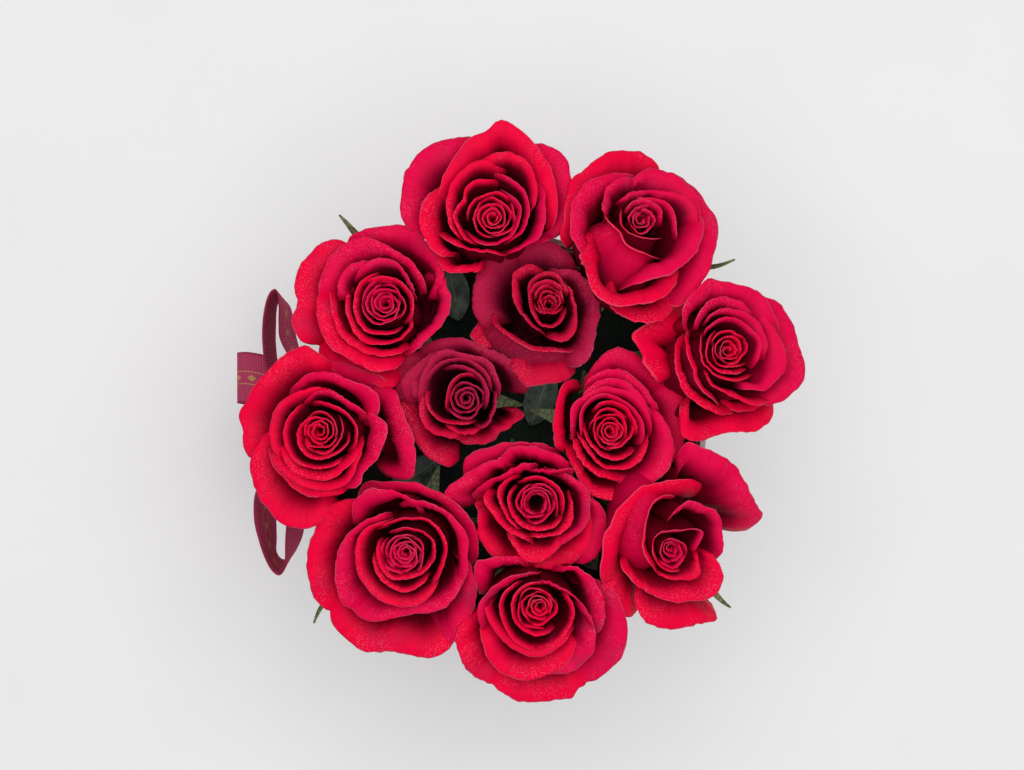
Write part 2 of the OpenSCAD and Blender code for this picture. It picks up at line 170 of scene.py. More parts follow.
def green_material(name, base, pale, dry, streaks, roughness):
    """Living green skin: waxy, streaked paler along its length, browned in small patches. streaks gives
    how many lie in each millimetre."""
    made, tree, shader = material(name, roughness, Specular_IOR_Level=0.45)
    where = add(tree, COORD, {}, {}, OBJECT)
    scale = streaks * PER_MM
    stretch = add(tree, MAPPING, {}, {"Vector": where, "Scale": (scale, scale, scale * 0.12)})
    streak = add(tree, NOISE, {}, {"Vector": stretch, "Scale": 1.0, "Detail": 3.0})
    patch = add(tree, NOISE, {}, {"Vector": where, "Scale": 0.18 * PER_MM, "Detail": 4.0})
    colour = add(tree, MIX, COLOURS, {SHARE: add(tree, RANGE, SOFT, {0: streak, FROM: 0.35, TO: 0.7}),
        FIRST: base, SECOND: pale}, MIXED)
    browned = add(tree, MATH, TIMES, {0: add(tree, RANGE, SOFT, {0: patch, FROM: 0.6, TO: 0.75}), 1: 0.6})
    colour = add(tree, MIX, COLOURS, {SHARE: browned, FIRST: colour, SECOND: dry}, MIXED)
    tree.links.new(colour, shader.inputs["Base Color"])
    tree.links.new(add(tree, BUMP, {}, {"Strength": 0.3, "Distance": 0.4 * MM, "Height": streak}),
        shader.inputs["Normal"])
    return made


stem_skin = green_material("rose_stem_waxy_skin", "#3f6a2c", "#6f9444", "#6a4a2c", 1.4, 0.42)
sepal_skin = green_material("rose_sepal_skin", "#3e4c28", "#7c8450", "#5c442c", 0.7, 0.55)


def leaf_material():
    """Rose leaf: dull green blade, a pale midrib and side veins that run to its toothed edge."""
    made, tree, shader = material("rose_leaf_blade", 0.5, Specular_IOR_Level=0.4)
    where = add(tree, COORD, {}, {}, OBJECT)
    along = add(tree, ATTRIBUTE, {"attribute_name": "along"}, {}, GREY)
    across = add(tree, ATTRIBUTE, {"attribute_name": "across"}, {}, GREY)
    side = add(tree, MATH, EVEN, {0: across})
    midrib = add(tree, RANGE, SOFT, {0: side, FROM: 0.03, TO: 0.1, NEW_FROM: 1.0, NEW_TO: 0.0})
    # Nine side veins that slant forward
    slant = add(tree, MATH, LESS, {0: add(tree, MATH, TIMES, {0: along, 1: 9.0}),
        1: add(tree, MATH, TIMES, {0: side, 1: 1.6})})
    off = add(tree, MATH, EVEN, {0: add(tree, MATH, LESS, {0: add(tree, MATH, PART, {0: slant}), 1: 0.5})})
    vein = add(tree, RANGE, SOFT, {0: off, FROM: 0.02, TO: 0.1, NEW_FROM: 0.6, NEW_TO: 0.0})
    lines = add(tree, MATH, MOST, {0: midrib, 1: vein})
    patch = add(tree, NOISE, {}, {"Vector": where, "Scale": 0.15 * PER_MM, "Detail": 4.0})
    colour = add(tree, MIX, COLOURS, {SHARE: add(tree, RANGE, SOFT, {0: patch, FROM: 0.35, TO: 0.65}),
        FIRST: "#36443a", SECOND: "#66766a"}, MIXED)
    colour = add(tree, MIX, COLOURS, {SHARE: add(tree, MATH, TIMES, {0: lines, 1: 0.6}), FIRST: colour,
        SECOND: "#8f9c86"}, MIXED)
    tree.links.new(colour, shader.inputs["Base Color"])
    sunk = add(tree, BUMP, {"invert": True}, {"Strength": 0.4, "Distance": 0.6 * MM, "Height": lines})
    tree.links.new(sunk, shader.inputs["Normal"])
    return made


RIBBON_W, RIBBON_Z, RIBBON_T = 25.0, 112.0, 0.6
UV_UNIT = 100.0   # millimetres of ribbon in one unit of its UV map


def ribbon_material(name, printed):
    """Grosgrain polyester ribbon: cross ribs, drawn 0.8 mm apart so that they show, a woven selvedge,
    and on one side a row of small gold lozenges between two lines, printed down the middle."""
    made, tree, shader = material(name, 0.75, Specular_IOR_Level=0.06, Sheen_Weight=0.35,
        Sheen_Roughness=0.5, Sheen_Tint="#c23864")
    uv = add(tree, UV_MAP, {"uv_map": "ribbon"}, {})
    width, length = (add(tree, SPLIT, {}, {0: uv}, axis) for axis in (0, 1))
    rib_half, edge_half = 0.4 / UV_UNIT, RIBBON_W / 2 / UV_UNIT
    rib = add(tree, MATH, SAW, {0: length, 1: rib_half})
    rib = add(tree, RANGE, SOFT, {0: rib, FROM: 0.0, TO: rib_half})
    # Distance from the middle line, and from the nearest lozenge along it, one each 9 mm
    off = add(tree, MATH, EVEN, {0: add(tree, MATH, LESS, {0: width, 1: edge_half})})
    near = add(tree, MATH, SAW, {0: length, 1: 4.5 / UV_UNIT})
    lozenge = add(tree, MATH, BELOW, {0: add(tree, MATH, PLUS, {
        0: add(tree, MATH, OVER, {0: off, 1: 1.6 / UV_UNIT}),
        1: add(tree, MATH, OVER, {0: near, 1: 2.6 / UV_UNIT})}), 1: 1.0})
    from_line = add(tree, MATH, EVEN, {0: add(tree, MATH, LESS, {0: off, 1: 3.0 / UV_UNIT})})
    line = add(tree, MATH, BELOW, {0: from_line, 1: 0.22 / UV_UNIT})
    gold = add(tree, MATH, MOST, {0: lozenge, 1: line})
    selvedge = add(tree, RANGE, SOFT, {0: off, FROM: 11.2 / UV_UNIT, TO: 11.8 / UV_UNIT, NEW_TO: 0.5})
    colour = add(tree, MIX, COLOURS, {SHARE: rib, FIRST: "#902444", SECOND: "#bc4a6a"}, MIXED)
    colour = add(tree, MIX, COLOURS, {SHARE: selvedge, FIRST: colour, SECOND: "#7a1438"}, MIXED)
    colour = add(tree, MIX, COLOURS, {SHARE: add(tree, MATH, TIMES, {0: gold, 1: printed}), FIRST: colour,
        SECOND: "#c09462"}, MIXED)
    tree.links.new(colour, shader.inputs["Base Color"])
    tree.links.new(add(tree, MATH, TIMES, {0: gold, 1: 0.5 * printed}), shader.inputs["Metallic"])
    tree.links.new(add(tree, BUMP, {}, {"Strength": 0.5, "Distance": 0.3 * MM, "Height": rib}),
        shader.inputs["Normal"])
    return made


def board_material():
    """White uncoated paper over greyboard, wound and glued: matt, faintly fibrous, a little darker in an
    uneven band at its edges."""
    made, tree, shader = material("white_wrapped_paperboard", 0.72, Specular_IOR_Level=0.3)
    where = add(tree, COORD, {}, {}, OBJECT)
    fibre = add(tree, NOISE, {}, {"Vector": where, "Scale": 1.5 * PER_MM, "Detail": 4.0, "Roughness": 0.7})
    cloud = add(tree, NOISE, {}, {"Vector": where, "Scale": 0.025 * PER_MM, "Detail": 3.0})
    colour = add(tree, MIX, COLOURS, {SHARE: add(tree, RANGE, SOFT, {0: cloud, FROM: 0.3, TO: 0.7}),
        FIRST: "#f3f1ee", SECOND: "#f7f6f3"}, MIXED)
    flecks = add(tree, RANGE, SOFT, {0: fibre, FROM: 0.5, TO: 0.8, NEW_TO: 0.3})
    colour = add(tree, MIX, COLOURS, {SHARE: flecks, FIRST: colour, SECOND: "#d9d4cd"}, MIXED)
    # Darker, unevenly, in the last 2 mm at the rim and at the foot
    darker_band = 2.0
    height = add(tree, SPLIT, {}, {0: where}, 2)
    top = add(tree, RANGE, SOFT, {0: height, FROM: (BOX_H - darker_band) * MM, TO: BOX_H * MM})
    foot = add(tree, RANGE, SOFT, {0: height, FROM: 0.0, TO: darker_band * MM, NEW_FROM: 1.0, NEW_TO: 0.0})
    uneven = add(tree, RANGE, SOFT, {0: cloud, FROM: 0.4, TO: 0.65, NEW_TO: 0.45})
    patchy = add(tree, MATH, TIMES, {0: add(tree, MATH, PLUS, {0: top, 1: foot}), 1: uneven})
    colour = add(tree, MIX, COLOURS, {SHARE: patchy, FIRST: colour, SECOND: "#c9c3ba"}, MIXED)
    tree.links.new(colour, shader.inputs["Base Color"])
    tree.links.new(add(tree, BUMP, {}, {"Strength": 0.25, "Distance": 0.2 * MM, "Height": fibre}),
        shader.inputs["Normal"])
    return made


def foam_material():
    """Wet floral foam: green open cells about a millimetre across, nearly black where they hold water."""
    made, tree, shader = material("wet_floral_foam", 0.8, Specular_IOR_Level=0.4)
    where = add(tree, COORD, {}, {}, OBJECT)
    cells = add(tree, CELLS, {}, {"Vector": where, "Scale": 0.9 * PER_MM})
    wet = add(tree, NOISE, {}, {"Vector": where, "Scale": 0.045 * PER_MM, "Detail": 4.0})
    colour = add(tree, MIX, COLOURS, {SHARE: add(tree, RANGE, SOFT, {0: cells, FROM: 0.1, TO: 0.6}),
        FIRST: "#070f0a", SECOND: "#132a1a"}, MIXED)
    colour = add(tree, MIX, COLOURS, {
        SHARE: add(tree, RANGE, SOFT, {0: wet, FROM: 0.45, TO: 0.7, NEW_TO: 0.7}),
        FIRST: colour, SECOND: "#060c09"}, MIXED)
    tree.links.new(colour, shader.inputs["Base Color"])
    tree.links.new(add(tree, BUMP, {}, {"Strength": 0.6, "Distance": 0.6 * MM, "Height": cells}),
        shader.inputs["Normal"])
    return made


def liner_material():
    """Thin frosted polypropylene liner: milky, with faint scuffs."""
    made, tree, shader = material("frosted_polypropylene", 0.38, IOR=1.49, Transmission_Weight=0.35)
    where = add(tree, COORD, {}, {}, OBJECT)
    scuff = add(tree, NOISE, {}, {"Vector": where, "Scale": 0.22 * PER_MM, "Detail": 5.0})
    colour = add(tree, MIX, COLOURS, {SHARE: add(tree, RANGE, SOFT, {0: scuff, FROM: 0.4, TO: 0.7}),
        FIRST: "#dfe3e2", SECOND: "#f2f4f4"}, MIXED)
    tree.links.new(colour, shader.inputs["Base Color"])
    patchy = add(tree, RANGE, SOFT, {0: scuff, FROM: 0.3, TO: 0.8, NEW_FROM: 0.3, NEW_TO: 0.5})
    tree.links.new(patchy, shader.inputs["Roughness"])
    return made


def floor_material():
    """Pale painted board, matt and almost even."""
    made, tree, shader = material("pale_matt_floor", 0.8, Specular_IOR_Level=0.2)
    where = add(tree, COORD, {}, {}, OBJECT)
    cloud = add(tree, NOISE, {}, {"Vector": where, "Scale": 0.009 * PER_MM, "Detail": 5.0})
    colour = add(tree, MIX, COLOURS, {SHARE: add(tree, RANGE, SOFT, {0: cloud, FROM: 0.3, TO: 0.7}),
        FIRST: "#e5e4e4", SECOND: "#e7e6e6"}, MIXED)
    tree.links.new(colour, shader.inputs["Base Color"])
    return made


# ---- Pieces ----


def dress(node, made):
    """A CAD node keeps its shape and takes a better finish."""
    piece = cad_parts[node]
    piece.data.materials.clear()
    piece.data.materials.append(made)


def grid_points(mesh, across, along):
    """A flat grid that a piece is bent from, of so many cells across and along it, -1 to 1 both ways."""
    return bmesh.ops.create_grid(mesh, x_segments=across, y_segments=along, size=1.0)["verts"]


def carried(mesh, *names):
    """Values that each point of a mesh carries to its material."""
    floats = mesh.verts.layers.float
    return [floats.get(name) or floats.new(name) for name in names]


def piece_from(mesh, name, body, materials, thickness, back=0, rim=0):
    """A finished bmesh becomes a thin piece at the origin that rides on a body. Its thickness lies half on
    each side, and back and rim say how many materials further on its back and its rim take theirs."""
    data = bpy.data.meshes.new(name)
    bmesh.ops.scale(mesh, vec=(MM, MM, MM), verts=mesh.verts)
    mesh.to_mesh(data)
    mesh.free()
    for made in materials:
        data.materials.append(made)
    data.polygons.foreach_set("use_smooth", [True] * len(data.polygons))
    piece = bpy.data.objects.new(name, data)
    bpy.context.scene.collection.objects.link(piece)
    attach(piece, body)
    thick = piece.modifiers.new("thickness", "SOLIDIFY")
    thick.thickness, thick.offset = thickness * MM, 0.0
    thick.material_offset, thick.material_offset_rim = back, rim
    return piece


# ---- Roses ----

PETAL_T = 0.3
HEART_CELLS, PETAL_CELLS = (36, 18), (52, 24)
GOLDEN_ANGLE = 137.5
# A petal is rooted between these radii, at the outer one where its rim reaches as far as SPREAD
CORE_R, HIP_R, SPREAD = 0.8, 7.0, 26.0

# A petal's form: width of its rolled lip, least radius of its belly (as a share of the flower's cup),
# height of its rim, angles by which it rises at the belly and rolls outwards from there, height of its two
# ends as a share of its own, how suddenly they sink, how far it bulges below the belly, how ruffled it is
Form = namedtuple("Form", "lip cup height rise roll ends sink bulge ruffle")

# From the lowest petals to those round the heart; an urn petal shows the swell of its outer face
FORMS = {
    "low": Form(15.0, 1.28, 31.0, 62.0, 78.0, 0.55, 5.0, 0.0, 1.0),
    "dull": Form(13.0, 1.25, 25.0, 60.0, 74.0, 0.55, 5.0, 0.0, 1.0),
    "flat": Form(24.0, 0.7, 22.0, 46.0, 50.0, 0.7, 5.0, 0.0, 1.0),
    "mid": Form(10.0, 1.1, 38.0, 76.0, 84.0, 0.5, 6.0, 0.0, 0.9),
    "in": Form(5.0, 0.8, 42.0, 86.0, 84.0, 0.5, 7.0, 0.0, 0.7),
    "ring": Form(2.2, 0.0, 42.5, 92.0, 74.0, 0.5, 7.0, 0.0, 0.5),
    "bud": Form(1.5, 0.0, 41.0, 104.0, 66.0, 0.5, 7.0, 0.0, 0.3),
    "urn": Form(2.4, 0.0, 40.0, 112.0, 92.0, 0.5, 7.0, 9.0, 0.4),
}


def polar(r, degrees):
    """A flat vector, given as its length and direction."""
    return Vector((r * math.cos(math.radians(degrees)), r * math.sin(math.radians(degrees))))


class Bloom:
    """Where one flower stands: its hip's top, the turn of its stem, and how its middle line bends so
    that its heart is where it should be, given as the X and Y that it shows at BLOOM_LEVEL from above."""

    def __init__(self, share, direction, lean, lean_direction, hip_height, heart):
        swing = math.radians(lean_direction)
        self.turn = (Matrix.Rotation(swing, 3, "Z") @ Matrix.Rotation(math.radians(lean), 3, "Y")
            @ Matrix.Rotation(-swing, 3, "Z"))
        self.hip = Vector((*polar(share * RIM_R, direction), BOX_H)) + hip_height * self.turn.col[2]
        self.heart = Vector(heart)
        self.bend = Vector((0, 0))
        self.bend = self.local(Vector((0, 0)), BLOOM_H)

    def local(self, seen, height):
        """The flower's own X and Y, at a height above the hip, of what shows `seen` away from the heart."""
        (a, b, _), (c, d, _), _ = self.turn
        x = y = 0.0
        # The point's level depends on where it is, so it is found by steps
        for _ in range(3):
            level = (self.hip + self.turn @ Vector((x, y, height))).z
            there = EYE.xy + (self.heart + seen - EYE.xy) * (EYE.z - level) / (EYE.z - BLOOM_LEVEL)
            gap = there - self.hip.xy - height * self.turn.col[2].xy
            x, y = (d * gap.x - b * gap.y) / (a * d - b * c), (a * gap.y - c * gap.x) / (a * d - b * c)
        return Vector((x, y)) - self.middle(height)

    def middle(self, height):
        """How far the middle line has bent away from the stem's own line."""
        return self.bend * (max(0.0, height) / BLOOM_H) ** 1.5

    def point(self, x, y, height):
        """A point in the frame, from the flower's own X and Y round its middle line, and height."""
        spot = self.middle(height)
        return self.hip + self.turn @ Vector((spot.x + x, spot.y + y, height))


def reach_of(rim, direction):
    """How far a rim stands from the heart in a direction, on a smooth line through its knots."""
    k = 0
    while k < len(rim) - 2 and (direction - rim[k + 1][0]) * (rim[-1][0] - rim[0][0]) > 0:
        k += 1

    def slope(i):
        a, b = rim[max(0, i - 1)], rim[min(len(rim) - 1, i + 1)]
        return (b[1] - a[1]) / (b[0] - a[0])

    step = rim[k + 1][0] - rim[k][0]
    s = (direction - rim[k][0]) / step
    return ((2 * s ** 3 - 3 * s ** 2 + 1) * rim[k][1] + (s ** 3 - 2 * s ** 2 + s) * step * slope(k)
        + (3 * s ** 2 - 2 * s ** 3) * rim[k + 1][1] + (s ** 3 - s ** 2) * step * slope(k + 1))


def side_line(form, cup, wide, high):
    """A petal's line from the hip to its rim, where the rim stands wide out and high up: a curve up to the
    belly, then an arc that is the rolled lip. Returns it as a function of t, from 0 at the hip to 1."""
    upright, turned = math.radians(form.rise), math.radians(form.roll)
    last = upright - turned
    belly = min(wide - max(1.2, 0.35 * form.lip), max(wide - form.lip, cup))
    arc = (wide - belly) / (math.sin(upright) - math.sin(max(last, -math.pi / 2)))
    lift = arc * (math.cos(max(last, 0.0)) - math.cos(upright))
    end = Vector((belly, max(0.35 * high, high - lift)))
    root = CORE_R + (HIP_R - CORE_R) * min(1.0, wide / SPREAD)
    rising = Vector((math.cos(upright), math.sin(upright)))
    knots = [Vector((root, 0.6)), Vector((root + 0.9 * (end.x - root) + form.bulge, 0.04 * end.y)),
        end - 0.42 * end.y * rising + Vector((1.2 * form.bulge, 0)), end]
    # A wide lip takes a larger part of t
    lip_from = 0.72 - 0.34 * min(1.0, (wide - belly) / 14)

    def spot(t):
        if t > lip_from:
            curl = turned * (t - lip_from) / (1 - lip_from)
            return end + arc * Vector((math.sin(upright) - math.sin(upright - curl),
                math.cos(upright - curl) - math.cos(upright)))
        s = min(1.0, t / lip_from)
        q = 1 - s
        return q ** 3 * knots[0] + 3 * q * q * s * knots[1] + 3 * q * s * s * knots[2] + s ** 3 * knots[3]

    return spot


def petal(mesh, bloom, rim, beside, form, cup, seed, mood, cells):
    """One petal. rim gives the line of its edge as (direction, reach) round its ring's middle, which stands
    `beside` the heart, and cup is the least radius of its belly."""
    along, across, mood_of = carried(mesh, "along", "across", "mood")
    made = grid_points(mesh, *cells)
    beside = Vector(beside)
    # Each column of the grid: its direction, its line, its rim's height and the flower's middle there
    columns, before = {}, None
    for u in sorted({round(v.co.x, 4) for v in made}):
        direction = rim[0][0] + (rim[-1][0] - rim[0][0]) * (u + 1) / 2
        high = form.height * (form.ends + (1 - form.ends) * max(0.0, 1 - abs(u) ** form.sink) ** 0.5)
        high += form.ruffle * 1.5 * noise.noise(Vector((u * 2.4 + seed, 1.3, seed * 4.4)))
        ragged = (0.8 * noise.noise(Vector((u * 5.0, seed * 2.3, 0.7)))
            + 0.55 * noise.noise(Vector((u * 13.0, seed * 1.3, 2.9))))
        reach = reach_of(rim, direction) + form.ruffle * ragged
        middle = bloom.local(beside, high)
        edge = bloom.local(beside + polar(reach, direction), high) - middle
        angle = math.atan2(edge.y, edge.x)
        if before is not None:
            angle += 2 * math.pi * round((before - angle) / (2 * math.pi))
        before = angle
        columns[u] = (angle, side_line(form, cup, edge.length, high), high, middle)
    angle_mid = columns[min(columns, key=abs)][0]
    # Only the narrow lip of a petal deep in the flower catches the light
    fade = 0.6 if form.bulge or form.lip > 20 else 1 + 2.4 * max(0.0, 1 - form.lip / 10)
    for v in made:
        u, t = round(v.co.x, 4), (v.co.y + 1) / 2
        angle, line, high, middle = columns[u]
        spot = line(t)
        wave = noise.noise(Vector((u * 1.7 + seed * 3.7, t * 1.6, seed * 1.9)))
        r = spot.x + form.ruffle * 1.6 * t * (1 - t) * 4 * wave
        z = spot.y + form.ruffle * t * t * 1.2 * noise.noise(Vector((u * 3.1 - seed, t * 1.5, seed * 3.4)))
        # A petal is narrower at its root than at its rim
        turn = angle_mid + (angle - angle_mid) * (0.82 + 0.18 * t)
        shift = middle * min(1.0, max(0.0, z) / high)
        v.co = bloom.point(shift.x + r * math.cos(turn), shift.y + r * math.sin(turn), z)
        v[along], v[across], v[mood_of] = t ** fade, u, mood


def heart_petals(mesh, bloom, number, count, inner, outer, first, hand, beside):
    """The heart: petals wound round each other, each a golden angle on from the last."""
    for k in range(count):
        t = k / (count - 1)
        radius = inner + (outer - inner) * t ** 1.1
        middle = first + hand * GOLDEN_ANGLE * k
        half = 84 + 66 * (1 - t) ** 2
        rim = [(middle + hand * half * u, radius * (1 + 0.09 * u + 0.07 * math.sin(5 * u + number + 2 * k)))
            for u in (-1, -0.5, 0, 0.5, 1)]
        form = Form(lip=0.5 + 0.8 * t, cup=0.0, height=36.0 + 5.0 * t ** 0.7, rise=96 - 4 * t,
            roll=62 + 14 * t, ends=0.5, sink=6.0, bulge=0.0, ruffle=0.4)
        mood = noise.noise(Vector((number * 3.1, k * 1.7, 0))) * 0.5 + 0.5
        shift = (beside[0] * t, beside[1] * t)
        petal(mesh, bloom, rim, shift, form, 0.0, number * 31 + k, mood, HEART_CELLS)


def open_petals(mesh, bloom, number, cup, petals):
    """The petals that have opened round the heart."""
    for k, (word, *rim) in enumerate(petals):
        form = FORMS[word]
        mood = noise.noise(Vector((number * 1.9, k * 2.3, 4.0))) * 0.5 + 0.5
        petal(mesh, bloom, rim, (0, 0), form, form.cup * cup, number * 57 + k, mood, PETAL_CELLS)


